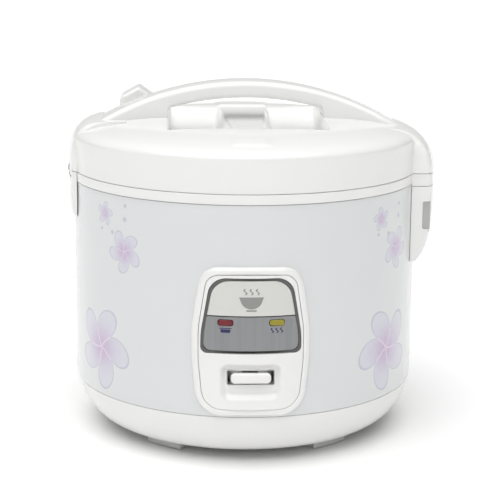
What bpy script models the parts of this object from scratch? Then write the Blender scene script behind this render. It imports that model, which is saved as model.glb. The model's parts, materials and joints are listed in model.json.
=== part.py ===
"""Jar rice cooker: hinged lid with a carrying handle, painted body, control panel and inner works.

Lengths below are millimetres; add() turns them into metres. The body's axis is X = Y = 0 in the script,
the table is Z = 0, the control panel faces -Y and the release button is at +X. The parent empty then
shifts the whole model so that the middle of its footprint is the world origin.
"""

import math

import bmesh
import bpy
from mathutils import Vector

MM = 0.001
GAP = 0.3                     # between pieces that touch

# ---- driving dimensions -------------------------------------------------------------------------
FOOTPRINT_SHIFT = (-4.75, 2.64)    # from the body's axis to the middle of the footprint
BODY_R = 128.5                # painted shell, outside
SHELL_T = 1.2
RING_R = 129.0                # upper ring and lid, outside
BASE_Z = 5.8                  # underside of the base pan
BASE_T = 2.4
SHELL_Z0 = 38.8               # shell, lower edge
SHELL_Z1 = 189.0              # shell, upper edge
RING_Z1 = 196.3               # parting line between ring and lid
LID_Z0 = RING_Z1 + GAP
LID_T = 2.2
SHOULDER_Z = 219.5            # lid side ends, shoulder begins
CREST_Z = 234.0               # highest point of the lid's deck
DECK_R = 118.0                # deck ends, shoulder begins
DECK_DROP = 6.5               # crest to the deck's edge
DECK_POWER = 5
BOWL_Z = 45.0                 # base bowl blends into the shell here
BOWL_R = 26.1                 # the bowl's corner, across
BOWL_H = 38.3                 # the bowl's corner, down
BOWL_POWER = 1.76

HANDLE_CENTRE_Z = 41.5        # centre of the handle's arcs
HANDLE_R_OUT = 219.0
HANDLE_R_IN = 207.0
HANDLE_R_SPLIT = 211.2        # parting line between its two halves
HANDLE_HALF = 15.0            # across, in Y
HANDLE_END_X = 104.0
HANDLE_FOOT_X = 61.5          # it stands on the deck from here on

WELL_HALF_X = 60.0            # hand well in the lid
WELL_HALF_Y = 64.0
WELL_Y = -6.0                 # its middle, towards the front
WELL_DEPTH = 16.0
WELL_FLOOR_Z = CREST_Z - WELL_DEPTH
POD_FRONT_HALF = 15.0         # bridge in the middle of the well, in X
POD_BACK_HALF = 21.5
POD_FRONT_Z = 231.0
POD_BACK_Z = 233.4

LATCH_HALF = 44.0             # latch lug, in Y
HINGE_HALF = 36.0             # hinge lug, in Y
LATCH_R = 142.1               # outer face of the latch housing, round the body's axis
LATCH_Z0 = 130.5              # latch housing, lower end
LATCH_Z1 = 187.0              # latch housing, upper end
LATCH_BEND_Z = 172.0          # the housing curves in below this height
LATCH_BEND_H = 43.0           # height of that curve, were it a full quarter
HINGE_R = 132.2               # outer face of the hinge cover, round the body's axis
HINGE_AXIS = (-128.3, 196.8)  # X, Z
KNUCKLE_R = 4.0
LID_GROOVE_R = 5.0
BODY_GROOVE_R = 5.6
PIN_R = 1.5
BORE_R = 1.7

PANEL_Z0 = 40.7
PANEL_Z1 = 146.5
PANEL_FRONT_R = 101.0         # curve of the panel's front
PANEL_FRONT_Y = -33.0         # centre of that curve
SPLIT_Z = 112.5               # badge plate above, lamp panel below
LAMP_X = 17.7
LAMP_Z = 108.0

LEVER_PIVOT = (-75.0, 34.0)   # Y, Z
PLUNGER_R = 7.8
POT_R = 112.0
POT_T = 1.8
POT_Z0 = 52.0
POT_Z1 = 192.8
CASING_R = 117.0
VENT = (-78.0, 45.0)          # steam vent, X and Y
INLET_Z = 24.5
SCREWS = ((90.6, 42.3), (-100.0, 0.0), (90.6, -42.3))

ROUND = 48                    # sides of the large turned pieces
MEDIUM = 40                   # sides of the turned pieces inside
SMALL = 16                    # sides of rods

# each moving body's empty stands on its joint
PIVOTS = {
    "base": (0, 0, 0),
    "lid": (HINGE_AXIS[0], 0, HINGE_AXIS[1]),
    "steam_cap": (VENT[0], VENT[1], CREST_Z),
    "release": (LATCH_R, 0, 160),
    "lever": (0, LEVER_PIVOT[0], LEVER_PIVOT[1]),
    "plunger": (0, 0, 14),
    "thermostat": (0, 0, POT_Z0 - GAP),
    "pot": (0, 0, POT_Z0),
}

# name: colour, roughness, metallic
MATERIALS = {
    "white_plastic": ((0.86, 0.86, 0.84), 0.30, 0.0),
    "painted_shell": ((0.80, 0.81, 0.83), 0.25, 0.0),
    "dark_trim": ((0.10, 0.10, 0.10), 0.35, 0.0),
    "badge_grey": ((0.72, 0.72, 0.68), 0.40, 0.0),
    "brushed_panel": ((0.48, 0.48, 0.48), 0.35, 0.6),
    "lens_red": ((0.55, 0.02, 0.03), 0.20, 0.0),
    "lens_yellow": ((0.75, 0.55, 0.06), 0.20, 0.0),
    "rubber": ((0.75, 0.75, 0.73), 0.70, 0.0),
    "silicone": ((0.80, 0.80, 0.78), 0.60, 0.0),
    "aluminium": ((0.72, 0.73, 0.74), 0.40, 1.0),
    "steel": ((0.62, 0.62, 0.62), 0.35, 1.0),
    "brass": ((0.78, 0.62, 0.30), 0.35, 1.0),
    "black_plastic": ((0.04, 0.04, 0.04), 0.45, 0.0),
    "board": ((0.10, 0.28, 0.14), 0.50, 0.0),
    "ceramic": ((0.85, 0.83, 0.78), 0.50, 0.0),
    "wire_red": ((0.55, 0.05, 0.04), 0.50, 0.0),
    "wire_blue": ((0.05, 0.12, 0.50), 0.50, 0.0),
}


# ---- scene helpers ------------------------------------------------------------------------------
def clear_scene():
    for item in list(bpy.data.objects):
        bpy.data.objects.remove(item, do_unlink=True)


def make_materials():
    made = {}
    for name, (colour, roughness, metallic) in MATERIALS.items():
        material = bpy.data.materials.new(name)
        material.use_nodes = True
        shader = material.node_tree.nodes["Principled BSDF"]
        shader.inputs["Base Color"].default_value = (*colour, 1)
        shader.inputs["Roughness"].default_value = roughness
        shader.inputs["Metallic"].default_value = metallic
        made[name] = material
    return made


def make_empties():
    """One empty for the whole cooker and one for each body, on that body's joint."""
    cooker = bpy.data.objects.new("cooker", None)
    bpy.context.collection.objects.link(cooker)
    cooker.location = (FOOTPRINT_SHIFT[0] * MM, FOOTPRINT_SHIFT[1] * MM, 0)
    made = {}
    for body, pivot in PIVOTS.items():
        empty = bpy.data.objects.new("body_" + body, None)
        bpy.context.collection.objects.link(empty)
        empty.parent = cooker
        empty.location = Vector(pivot) * MM
        made[body] = empty
    return made


def add(name, bm, body, material):
    """Makes an object of a bmesh drawn in millimetres, on its body's empty."""
    pivot = Vector(PIVOTS[body])
    for vertex in bm.verts:
        vertex.co = (vertex.co - pivot) * MM
    bmesh.ops.recalc_face_normals(bm, faces=bm.faces)
    mesh = bpy.data.meshes.new(name)
    bm.to_mesh(mesh)
    bm.free()
    mesh.shade_smooth()
    mesh.set_sharp_from_angle(angle=math.radians(32))
    item = bpy.data.objects.new(name, mesh)
    bpy.context.collection.objects.link(item)
    item.parent = EMPTIES[body]
    if material:
        mesh.materials.append(MADE[material])
    return item


def helper(name, bm, body):
    """A shape that only cuts or joins another one."""
    item = add(name, bm, body, None)
    item.hide_render = True
    item.display_type = "WIRE"
    return item


def combine(item, other, operation):
    modifier = item.modifiers.new(other.name, "BOOLEAN")
    modifier.operation = operation
    modifier.solver = "EXACT"
    modifier.object = other


def cut(item, *others):
    for other in others:
        combine(item, other, "DIFFERENCE")


def join(item, *others):
    for other in others:
        combine(item, other, "UNION")


def keep_inside(item, other):
    combine(item, other, "INTERSECT")


# ---- outlines -----------------------------------------------------------------------------------
def arc(cx, cy, rx, ry, start, end, steps):
    """Points of an ellipse's arc, angles in degrees."""
    points = []
    for i in range(steps + 1):
        angle = math.radians(start + (end - start) * i / steps)
        points.append((cx + rx * math.cos(angle), cy + ry * math.sin(angle)))
    return points


def superellipse(cx, cy, rx, ry, power, steps):
    """A quarter from the +X end to the +Y end; rx may be negative to face the other way."""
    points = []
    for i in range(steps + 1):
        angle = math.pi / 2 * i / steps
        u = max(math.cos(angle), 0.0) ** (2 / power)
        v = max(math.sin(angle), 0.0) ** (2 / power)
        points.append((cx + rx * u, cy + ry * v))
    return points


def offset(points, distance):
    """An open line moved sideways, to its left when distance is positive."""
    moved = []
    last = len(points) - 1
    for i, (x, y) in enumerate(points):
        before = Vector(points[max(i - 1, 0)])
        after = Vector(points[min(i + 1, last)])
        along = (after - before).normalized()
        moved.append((x - along.y * distance, y + along.x * distance))
    return moved


def rounded(corners, radii, steps=6):
    """A closed outline with each corner filleted."""
    points = []
    count = len(corners)
    for i in range(count):
        corner = Vector(corners[i])
        to_before = (Vector(corners[i - 1]) - corner).normalized()
        to_after = (Vector(corners[(i + 1) % count]) - corner).normalized()
        half = to_before.angle(to_after) / 2
        reach = radii[i] / math.tan(half)
        centre = corner + (to_before + to_after).normalized() * (radii[i] / math.sin(half))
        first = corner + to_before * reach - centre
        turn = first.angle_signed(corner + to_after * reach - centre)
        for k in range(steps + 1):
            angle = -turn * k / steps
            c, s = math.cos(angle), math.sin(angle)
            points.append((centre.x + first.x * c - first.y * s, centre.y + first.x * s + first.y * c))
    return points


def strip(points, thickness):
    """A closed outline round an open line."""
    sides = []
    for side in (thickness / 2, -thickness / 2):
        line = []
        for i, point in enumerate(points):
            here = Vector(point)
            normals = []
            if i > 0:
                d = (here - Vector(points[i - 1])).normalized()
                normals.append(Vector((-d.y, d.x)))
            if i < len(points) - 1:
                d = (Vector(points[i + 1]) - here).normalized()
                normals.append(Vector((-d.y, d.x)))
            mitre = sum(normals, Vector((0, 0))).normalized()
            line.append(tuple(here + mitre * side / mitre.dot(normals[0])))
        sides.append(line)
    return sides[0] + sides[1][::-1]


# ---- solids -------------------------------------------------------------------------------------
def turned(outline, sides=ROUND, centre=(0, 0)):
    """A closed (radius, Z) outline turned about the vertical line through centre."""
    bm = bmesh.new()
    rings = []
    for radius, z in outline:
        if radius < 1e-6:
            rings.append([bm.verts.new((centre[0], centre[1], z))])
            continue
        ring = []
        for i in range(sides):
            angle = 2 * math.pi * (i + 0.5) / sides
            x = centre[0] + radius * math.cos(angle)
            y = centre[1] + radius * math.sin(angle)
            ring.append(bm.verts.new((x, y, z)))
        rings.append(ring)
    for a, b in zip(rings, rings[1:] + rings[:1]):
        for i in range(sides):
            k = (i + 1) % sides
            corners = [a[i % len(a)], a[k % len(a)], b[k % len(b)], b[i % len(b)]]
            corners = list(dict.fromkeys(corners))
            if len(corners) > 2:
                bm.faces.new(corners)
    return bm


def prism(outline, axis, low, high):
    """A closed outline drawn across an axis and extruded along it. X: (y, z), Y: (x, z), Z: (x, y)."""
    place = {
        "X": lambda p, t: (t, p[0], p[1]),
        "Y": lambda p, t: (p[0], t, p[1]),
        "Z": lambda p, t: (p[0], p[1], t),
    }[axis]
    bm = bmesh.new()
    ends = [[bm.verts.new(place(p, t)) for p in outline] for t in (low, high)]
    count = len(outline)
    for i in range(count):
        k = (i + 1) % count
        bm.faces.new((ends[0][i], ends[0][k], ends[1][k], ends[1][i]))
    bm.faces.new(ends[0][::-1])
    bm.faces.new(ends[1])
    return bm


def block(low, high):
    outline = ((low[0], low[1]), (high[0], low[1]), (high[0], high[1]), (low[0], high[1]))
    return prism(outline, "Z", low[2], high[2])


def rod(axis, centre, radius, low, high, sides=SMALL):
    """A cylinder along an axis; centre is given in the other two coordinates."""
    return prism(arc(*centre, radius, radius, 0, 360 - 360 / sides, sides - 1), axis, low, high)


def tube_along(points, radius, sides=6):
    """A round tube through points, closed at both ends."""
    bm = bmesh.new()
    points = [Vector(p) for p in points]
    last = len(points) - 1
    rings = []
    across = None
    for i, point in enumerate(points):
        along = (points[min(i + 1, last)] - points[max(i - 1, 0)]).normalized()
        if across is None:
            across = along.orthogonal().normalized()
        across = (across - along * across.dot(along)).normalized()
        up = along.cross(across)
        ring = []
        for k in range(sides):
            angle = 2 * math.pi * k / sides
            ring.append(bm.verts.new(point + radius * (across * math.cos(angle) + up * math.sin(angle))))
        rings.append(ring)
    for a, b in zip(rings, rings[1:]):
        for k in range(sides):
            n = (k + 1) % sides
            bm.faces.new((a[k], a[n], b[n], b[k]))
    bm.faces.new(rings[0][::-1])
    bm.faces.new(rings[-1])
    return bm


def curve_through(points, per_span=4):
    """A smooth line through a few points (Catmull-Rom)."""
    line = []
    knots = [Vector(p) for p in (points[0], *points, points[-1])]
    for a, b, c, d in zip(knots, knots[1:], knots[2:], knots[3:]):
        for i in range(per_span):
            t = i / per_span
            line.append(0.5 * (2 * b + (c - a) * t + (2 * a - 5 * b + 4 * c - d) * t * t
                               + (3 * b - a - 3 * c + d) * t ** 3))
    line.append(knots[-1])
    return line


def coil(axis, centre, radius, low, high, turns, per_turn=10):
    """Points of a coil along an axis."""
    order = {"X": (2, 0, 1), "Y": (0, 2, 1), "Z": (0, 1, 2)}[axis]
    points = []
    for i in range(int(turns * per_turn) + 1):
        angle = 2 * math.pi * i / per_turn
        t = low + (high - low) * i / (turns * per_turn)
        local = (centre[0] + radius * math.cos(angle), centre[1] + radius * math.sin(angle), t)
        points.append(tuple(local[k] for k in order))
    return points


# ---- profiles shared by several pieces ----------------------------------------------------------
def bowl_line(low, high, steps):
    """The base bowl's outer line, from its foot up to a height."""
    points = []
    for i in range(steps + 1):
        z = low + (high - low) * (i / steps) ** 1.6
        v = (BOWL_Z - z) / BOWL_H
        u = max(1 - v ** BOWL_POWER, 0.0) ** (1 / BOWL_POWER)
        points.append((BODY_R - BOWL_R + BOWL_R * u, z))
    return points


def deck_z(radius):
    return CREST_Z - DECK_DROP * (radius / DECK_R) ** DECK_POWER


def lid_line():
    """The lid's outer line, from the crest at the axis down to the parting line."""
    deck = [(r, deck_z(r)) for r in (0, 55, 82, 98, 109)]
    slope = DECK_DROP * DECK_POWER / DECK_R
    side = RING_R - DECK_R
    rise = deck_z(DECK_R) - SHOULDER_Z
    share = slope * side / rise           # makes the shoulder meet the deck without a kink
    cosine = share / (1 - share)
    rx = side / (1 - cosine)
    rz = rise / math.sqrt(1 - cosine ** 2)
    end = math.degrees(math.acos(cosine))
    shoulder = arc(RING_R - rx, SHOULDER_Z, rx, rz, end, 0, 6)
    return deck + shoulder + [(RING_R, LID_Z0)]


def lid_clearance(name, body):
    """Everything that the lid's top fills, grown by the gap."""
    line = offset(lid_line(), GAP)
    line[0] = (0, CREST_Z + GAP)
    return helper(name, turned(line + [(0, LID_Z0)]), body)


def round_clearance(name, radius, low, high):
    return helper(name, turned([(0, low), (radius, low), (radius, high), (0, high)]), "base")


def latch_line(low, high, inward=0.0, steps=8):
    """The latch housing's outer line from its top down to a height, moved in by inward."""
    end = math.asin((LATCH_BEND_Z - low) / LATCH_BEND_H)
    bend = [(BODY_R + (LATCH_R - BODY_R) * math.cos(end * i / steps) - inward,
             LATCH_BEND_Z - LATCH_BEND_H * math.sin(end * i / steps)) for i in range(steps + 1)]
    return [(LATCH_R - inward, high)] + bend


def sector(name, outline, half, side, body="base"):
    """A turned piece, kept only within half of the X axis on one side."""
    piece = helper(name, turned(outline), body)
    ends = sorted((side * 60, side * 160))
    keep_inside(piece, helper("keep_" + name, block((ends[0], -half, 100), (ends[1], half, 260)), body))
    return piece


def panel_outline(margin):
    """The control panel's outline, drawn in by margin."""
    half = 41.4 - margin
    top = PANEL_Z1 - margin
    low = PANEL_Z0 + margin
    corners = ((-34.5 + margin * 0.8, top), (34.5 - margin * 0.8, top), (half, 103), (half, 80),
               (37.5 - margin * 0.9, low), (-37.5 + margin * 0.9, low), (-half, 80), (-half, 103))
    radii = (15 - margin, 15 - margin, 60, 80, 19 - margin, 19 - margin, 80, 60)
    return rounded(corners, radii, 4)


def window_outline(margin):
    corners = ((-28.6 + margin, 138.6 - margin), (28.6 - margin, 138.6 - margin),
               (35.2 - margin, 100), (35.4 - margin, 85.9 + margin),
               (-35.4 + margin, 85.9 + margin), (-35.2 + margin, 100))
    return rounded(corners, (9, 9, 60, 5, 5, 60), 4)


def panel_front(name, recess):
    """A tall cylinder whose front is the panel's curved face, set back by recess."""
    radius = PANEL_FRONT_R - recess
    outline = arc(0, PANEL_FRONT_Y, radius, radius, 180, 360, 36)
    return helper(name, prism(outline, "Z", 30, 160), "base")


# ---- base ---------------------------------------------------------------------------------------
def make_base_pan():
    outer = [(0, BASE_Z), (97, BASE_Z)] + bowl_line(6.7, SHELL_Z0 - GAP, 6)
    inner = offset(outer[1:], BASE_T)
    inner[0] = (96.5, BASE_Z + BASE_T)
    inner[-1] = (inner[-1][0], SHELL_Z0 - GAP)
    inner = [(0, BASE_Z + BASE_T)] + inner
    pan = add("base_pan", turned(outer + inner[::-1]), "base", "white_plastic")
    for number, (x, y) in enumerate(SCREWS):
        post = helper(f"join_post_{number}", rod("Z", (x, y), 5.2, BASE_Z + 2, 38.9, 12), "base")
        hole = helper(f"cut_screw_{number}", turned(
            [(0, 0), (4.0, 0), (4.0, 14), (2.0, 14), (2.0, 45), (0, 45)], 12, (x, y)), "base")
        join(pan, post)
        cut(pan, hole)
    socket = helper("cut_inlet", block((-17.4, 90, INLET_Z - 12), (17.4, 140, INLET_Z + 12)), "base")
    cut(pan, socket)
    for number in range(4):
        angle = math.radians(45 + 90 * number)
        slot = helper(f"cut_vent_{number}", block((36, -1.5, 0), (56, 1.5, 20)), "base")
        slot.rotation_euler.z = angle
        cut(pan, slot)


def make_feet():
    places = {"foot_front_right": -51.5, "foot_front_left": -128.5,
              "foot_rear_right": 51.5, "foot_rear_left": 128.5}
    for name, middle in places.items():
        outline = arc(0, 0, 99, 99, middle - 9, middle + 9, 8)
        outline += arc(0, 0, 87, 87, middle + 9, middle - 9, 8)
        add(name, prism(outline, "Z", 0, BASE_Z - GAP), "base", "rubber")


def make_base_screws():
    for number, (x, y) in enumerate(SCREWS):
        head_z = 14.3
        outline = [(0, head_z - 2.8), (3.4, head_z - 2.8), (3.4, head_z - GAP - 0.3), (1.6, head_z - GAP),
                   (1.6, 43.5), (0, 44.5)]
        add(f"base_screw_{number + 1}", turned(outline, 12, (x, y)), "base", "steel")


# ---- body ---------------------------------------------------------------------------------------
def make_body_shell():
    outer = bowl_line(SHELL_Z0, BOWL_Z, 3) + [(BODY_R, SHELL_Z1)]
    inner = [(r - SHELL_T, z) for r, z in outer]
    shell = add("body_shell", turned(outer + inner[::-1]), "base", "painted_shell")
    opening = rounded(((-30, 58), (30, 58), (27, 132), (-27, 132)), (8, 8, 8, 8), 3)
    cut(shell, helper("cut_shell_front", prism(opening, "Y", -140, -100), "base"))


def make_upper_ring():
    outline = [(RING_R, SHELL_Z1 + GAP), (RING_R, RING_Z1), (119.4, RING_Z1), (119.4, 188.3),
               (121.4, 188.3), (121.4, 193.8), (126.8, 193.8), (126.8, SHELL_Z1 + GAP)]
    ring = add("upper_ring", turned(outline), "base", "white_plastic")
    low = LATCH_Z1 + GAP
    lug = sector("join_latch_lug", [(124, RING_Z1), (LATCH_R, RING_Z1), (LATCH_R, low), (124, low)],
                 LATCH_HALF, 1)
    cut(lug, round_clearance("cut_lug_shell", BODY_R + GAP, 100, SHELL_Z1 + GAP / 2))
    join(ring, lug)
    cut(ring, helper("cut_hook_slot", block((131.5, -9.5, 180), (138.8, 9.5, 199)), "base"))
    cut(ring, helper("cut_ring_hinge", rod(
        "Y", HINGE_AXIS, BODY_GROOVE_R, -37, 37, 24), "base"))


def make_inner_casing():
    outline = [(75, 39.2), (CASING_R, 39.2), (CASING_R, 186.5), (124.0, 186.5), (124.0, 188.0),
               (CASING_R - 1.5, 188.0), (CASING_R - 1.5, 40.7), (75, 40.7)]
    casing = add("inner_casing", turned(outline, MEDIUM), "base", "aluminium")
    for number, (x, y) in enumerate(SCREWS):
        hole = helper(f"cut_casing_{number}", rod("Z", (x, y), 2.0, 30, 60, 12), "base")
        cut(casing, hole)
    band = [(CASING_R + GAP, 122), (CASING_R + 1.8, 122), (CASING_R + 1.8, 142), (CASING_R + GAP, 142)]
    add("keep_warm_band", turned(band, MEDIUM), "base", "steel")


def make_pot():
    bend = 18.0
    outer = [(0, POT_Z0)] + arc(POT_R - bend, POT_Z0 + bend, bend, bend, -90, 0, 4)
    outer += [(POT_R, 190.6), (118, 191.0), (118, POT_Z1)]
    inside = POT_R - POT_T
    inner = [(inside, POT_Z1)]
    inner += arc(POT_R - bend, POT_Z0 + bend, bend - POT_T, bend - POT_T, 0, -90, 4)
    inner += [(0, POT_Z0 + POT_T)]
    add("inner_pot", turned(outer + inner, MEDIUM), "pot", "aluminium")


def make_heater():
    plate = [(19, 41), (90, 41), (90, 47), (85, POT_Z0 - GAP), (19, POT_Z0 - GAP)]
    add("heating_plate", turned(plate, MEDIUM), "base", "aluminium")
    for name, x in (("heater_terminal_left", -35), ("heater_terminal_right", 35)):
        add(name, block((x - 2, 54.6, 29), (x + 2, 55.4, 41 - GAP)), "base", "brass")


def make_thermostat():
    cap = [(0, POT_Z0 - GAP), (16, POT_Z0 - GAP), (17, 50.4), (17, 38), (15, 38), (15, 49.7), (0, 49.7)]
    add("thermostat_cap", turned(cap, 24), "thermostat", "aluminium")
    sleeve = [(8.6, 21), (10.4, 21), (10.4, 33), (17, 33), (17, 35), (8.6, 35)]
    add("thermostat_sleeve", turned(sleeve, 24), "base", "steel")
    add("thermostat_spring", tube_along(coil("Z", (0, 0), 12.6, 36.0, 48.7, 4), 0.6, 4), "base", "steel")
    plunger = [(0, 14), (PLUNGER_R, 14), (PLUNGER_R, 28), (6.6, 30), (0, 30)]
    add("magnet_plunger", turned(plunger, 16), "plunger", "steel")


# ---- cook lever and switch ----------------------------------------------------------------------
def make_lever():
    y, z = LEVER_PIVOT
    line = [(-130.4, 70.8), (-122, 70.8), (-122, 41.5), (-113, 32.5), (y, z), (-40, 18), (-5, 12)]
    arm = add("cook_lever_arm", prism(strip(line, 2.4), "X", -5, 5), "lever", "steel")
    join(arm, helper("join_lever_eye", rod("X", LEVER_PIVOT, 2.8, -5, 5), "lever"))
    cut(arm, helper("cut_lever_eye", rod("X", LEVER_PIVOT, BORE_R, -8, 8), "lever"))
    outline = rounded(((-14, 64.8), (14, 64.8), (14, 72.2), (-14, 72.2)), (2.4, 2.4, 2.4, 2.4), 3)
    add("cook_lever_paddle", prism(outline, "Y", -134.0, -130.7), "lever", "white_plastic")
    ears = [(-10.5, 29), (-10.5, 38.9), (10.5, 38.9), (10.5, 29), (8.5, 29), (8.5, 37.2),
            (-8.5, 37.2), (-8.5, 29)]
    bracket = add("lever_bracket", prism(ears, "Y", y - 4, y + 4), "base", "steel")
    cut(bracket, helper("cut_ears", rod("X", LEVER_PIVOT, BORE_R, -15, 15), "base"))
    add("lever_pin", rod("X", LEVER_PIVOT, PIN_R, -11.5, 11.5), "base", "steel")


def make_wiring():
    add("micro_switch", block((10, -54, 13), (30, -44, 25)), "base", "black_plastic")
    add("terminal_block", block((-14, 62, BASE_Z + BASE_T + GAP), (14, 76, 20)), "base", "ceramic")
    add("thermal_fuse", rod("X", (40, 24), 3.2, -52, -22, 12), "base", "ceramic")
    live = [(-7, 91.4, 21), (-8, 85, 24), (-14, 76, 28), (-26, 64, 28), (-34.9, 56.8, 27), (-35, 55, 27.4)]
    neutral = [(-x, y, z) for x, y, z in live]
    lamps = [(20, -49, 26.6), (24, -66, 30), (30, -96, 34), (34, -114, 38), (34.6, -117.5, 50),
             (30, -118.2, 76), (20, -120.6, 98), (18, -120.9, 106)]
    for name, points, material in (("wire_live", live, "wire_red"), ("wire_neutral", neutral, "wire_blue"),
                                   ("wire_lamps", lamps, "wire_red")):
        add(name, tube_along(curve_through(points), 1.1), "base", material)
    add("lamp_board", block((-25.5, -124.0, 98), (25.5, -122.6, 118)), "base", "board")


def make_inlet():
    low, high = INLET_Z - 11.5, INLET_Z + 11.5
    face = 126.0
    inlet = add("power_inlet", block((-17, 96, low), (17, face, high)), "base", "black_plastic")
    cut(inlet, helper("cut_socket", block((-13.5, 104, low + 3), (13.5, face + 9, high - 3)), "base"))
    pins = {"inlet_pin_live": (-7, 21.0), "inlet_pin_neutral": (7, 21.0), "inlet_pin_earth": (0, 29.0)}
    for name, place in pins.items():
        cut(inlet, helper("cut_" + name, rod("Y", place, 2.3, 90, 108, 12), "base"))
        add(name, rod("Y", place, 2.0, 92, 121, 12), "base", "brass")


# ---- control panel ------------------------------------------------------------------------------
def panel_piece(name, outline, recess, material, back=BODY_R + GAP):
    """A piece of the panel: its outline, the curved front and the round back."""
    piece = add(name, prism(outline, "Y", -137, -100), "base", material)
    keep_inside(piece, panel_front("front_" + name, recess))
    cut(piece, round_clearance("back_" + name, back, 20, 170))
    return piece


def make_panel():
    bezel = panel_piece("control_bezel", panel_outline(0), 0, "white_plastic")
    cut(bezel, helper("cut_bezel", prism(panel_outline(5.2 - GAP), "Y", -145, -90), "base"))
    plate = panel_piece("control_plate", panel_outline(5.2), 0.6, "white_plastic")
    cut(plate, helper("cut_window", prism(window_outline(0), "Y", -145, -90), "base"))
    dish = rounded(((-22, 53), (22, 53), (22, 80), (-22, 80)), (8, 8, 8, 8), 4)
    cut(plate, helper("cut_dish", prism(dish, "Y", -145, -130.2), "base"))
    cut(plate, helper("cut_slot", block((-16.2, -145, 63.2), (16.2, -90, 73.3)), "base"))
    frame = panel_piece("display_frame", window_outline(GAP), 0.9, "dark_trim")
    cut(frame, helper("cut_frame", prism(window_outline(2.0), "Y", -145, -90), "base"))
    badge = panel_piece("badge_plate", window_outline(2.0 + GAP), 1.3, "badge_grey")
    cut(badge, helper("cut_badge", block((-50, -145, 50), (50, -90, SPLIT_Z + GAP / 2)), "base"))
    lamps = panel_piece("lamp_panel", window_outline(2.0 + GAP), 1.3, "brushed_panel")
    cut(lamps, helper("cut_lamps", block((-50, -145, SPLIT_Z - GAP / 2), (50, -90, 160)), "base"))
    for name, x, material in (("lamp_lens_cook", -LAMP_X, "lens_red"),
                              ("lamp_lens_warm", LAMP_X, "lens_yellow")):
        for part, grow in (("hole", GAP), ("lens", 0)):
            corners = ((x - 5.2 - grow, LAMP_Z - 2.05 - grow), (x + 5.2 + grow, LAMP_Z - 2.05 - grow),
                       (x + 5.2 + grow, LAMP_Z + 2.05 + grow), (x - 5.2 - grow, LAMP_Z + 2.05 + grow))
            outline = rounded(corners, (1.6,) * 4, 3)
            if part == "hole":
                cut(lamps, helper("cut_" + name, prism(outline, "Y", -145, -90), "base"))
            else:
                add(name, prism(outline, "Y", -131.6, -125.2), "base", material)


# ---- latch --------------------------------------------------------------------------------------
def make_latch():
    inside = BODY_R + GAP
    outline = [(inside, LATCH_Z1)] + latch_line(LATCH_Z0, LATCH_Z1) + [(inside, LATCH_Z0)]
    housing = add("latch_housing", turned(outline), "base", "white_plastic")
    keep_inside(housing, helper("keep_latch", block((60, -LATCH_HALF, 120), (160, LATCH_HALF, 200)), "base"))
    room = latch_line(LATCH_Z0 + 3.5, LATCH_Z1 + 3, 2.4)
    room = [(120, room[0][1])] + room + [(120, room[-1][1])]
    cut(housing, sector("cut_latch_room", room, LATCH_HALF - 2.4, 1))
    cut(housing, helper("cut_button", block((132, -18, 141), (150, 18, 179)), "base"))
    window = rounded(((127.6, 155), (132.4, 155), (132.4, 174), (127.6, 174)), (2.2, 2.2, 1, 1), 3)
    for number, (low, high) in enumerate(((-50, -38), (38, 50))):
        cut(housing, helper(f"cut_window_{number}", prism(window, "Y", low, high), "base"))

    face = latch_line(140, 180)
    back = latch_line(140, 180, 2.2)
    button = add("release_button", turned(face + back[::-1]), "release", "white_plastic")
    keep_inside(button, helper("keep_button", block((100, -17.6, 141.4), (160, 17.6, 178.6)), "release"))
    arms = [(140.4, -13.5), (131.2, -13.5), (131.2, 13.5), (140.4, 13.5), (140.4, 11), (132.9, 11),
            (132.9, -11), (140.4, -11)]
    join(button, helper("join_catch", prism(arms, "Z", 175.9, 178.3), "release"))
    add("release_spring", tube_along(coil("X", (0, 153), 3.2, 131.3, 137.2, 4), 0.45, 4), "release", "steel")


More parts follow.
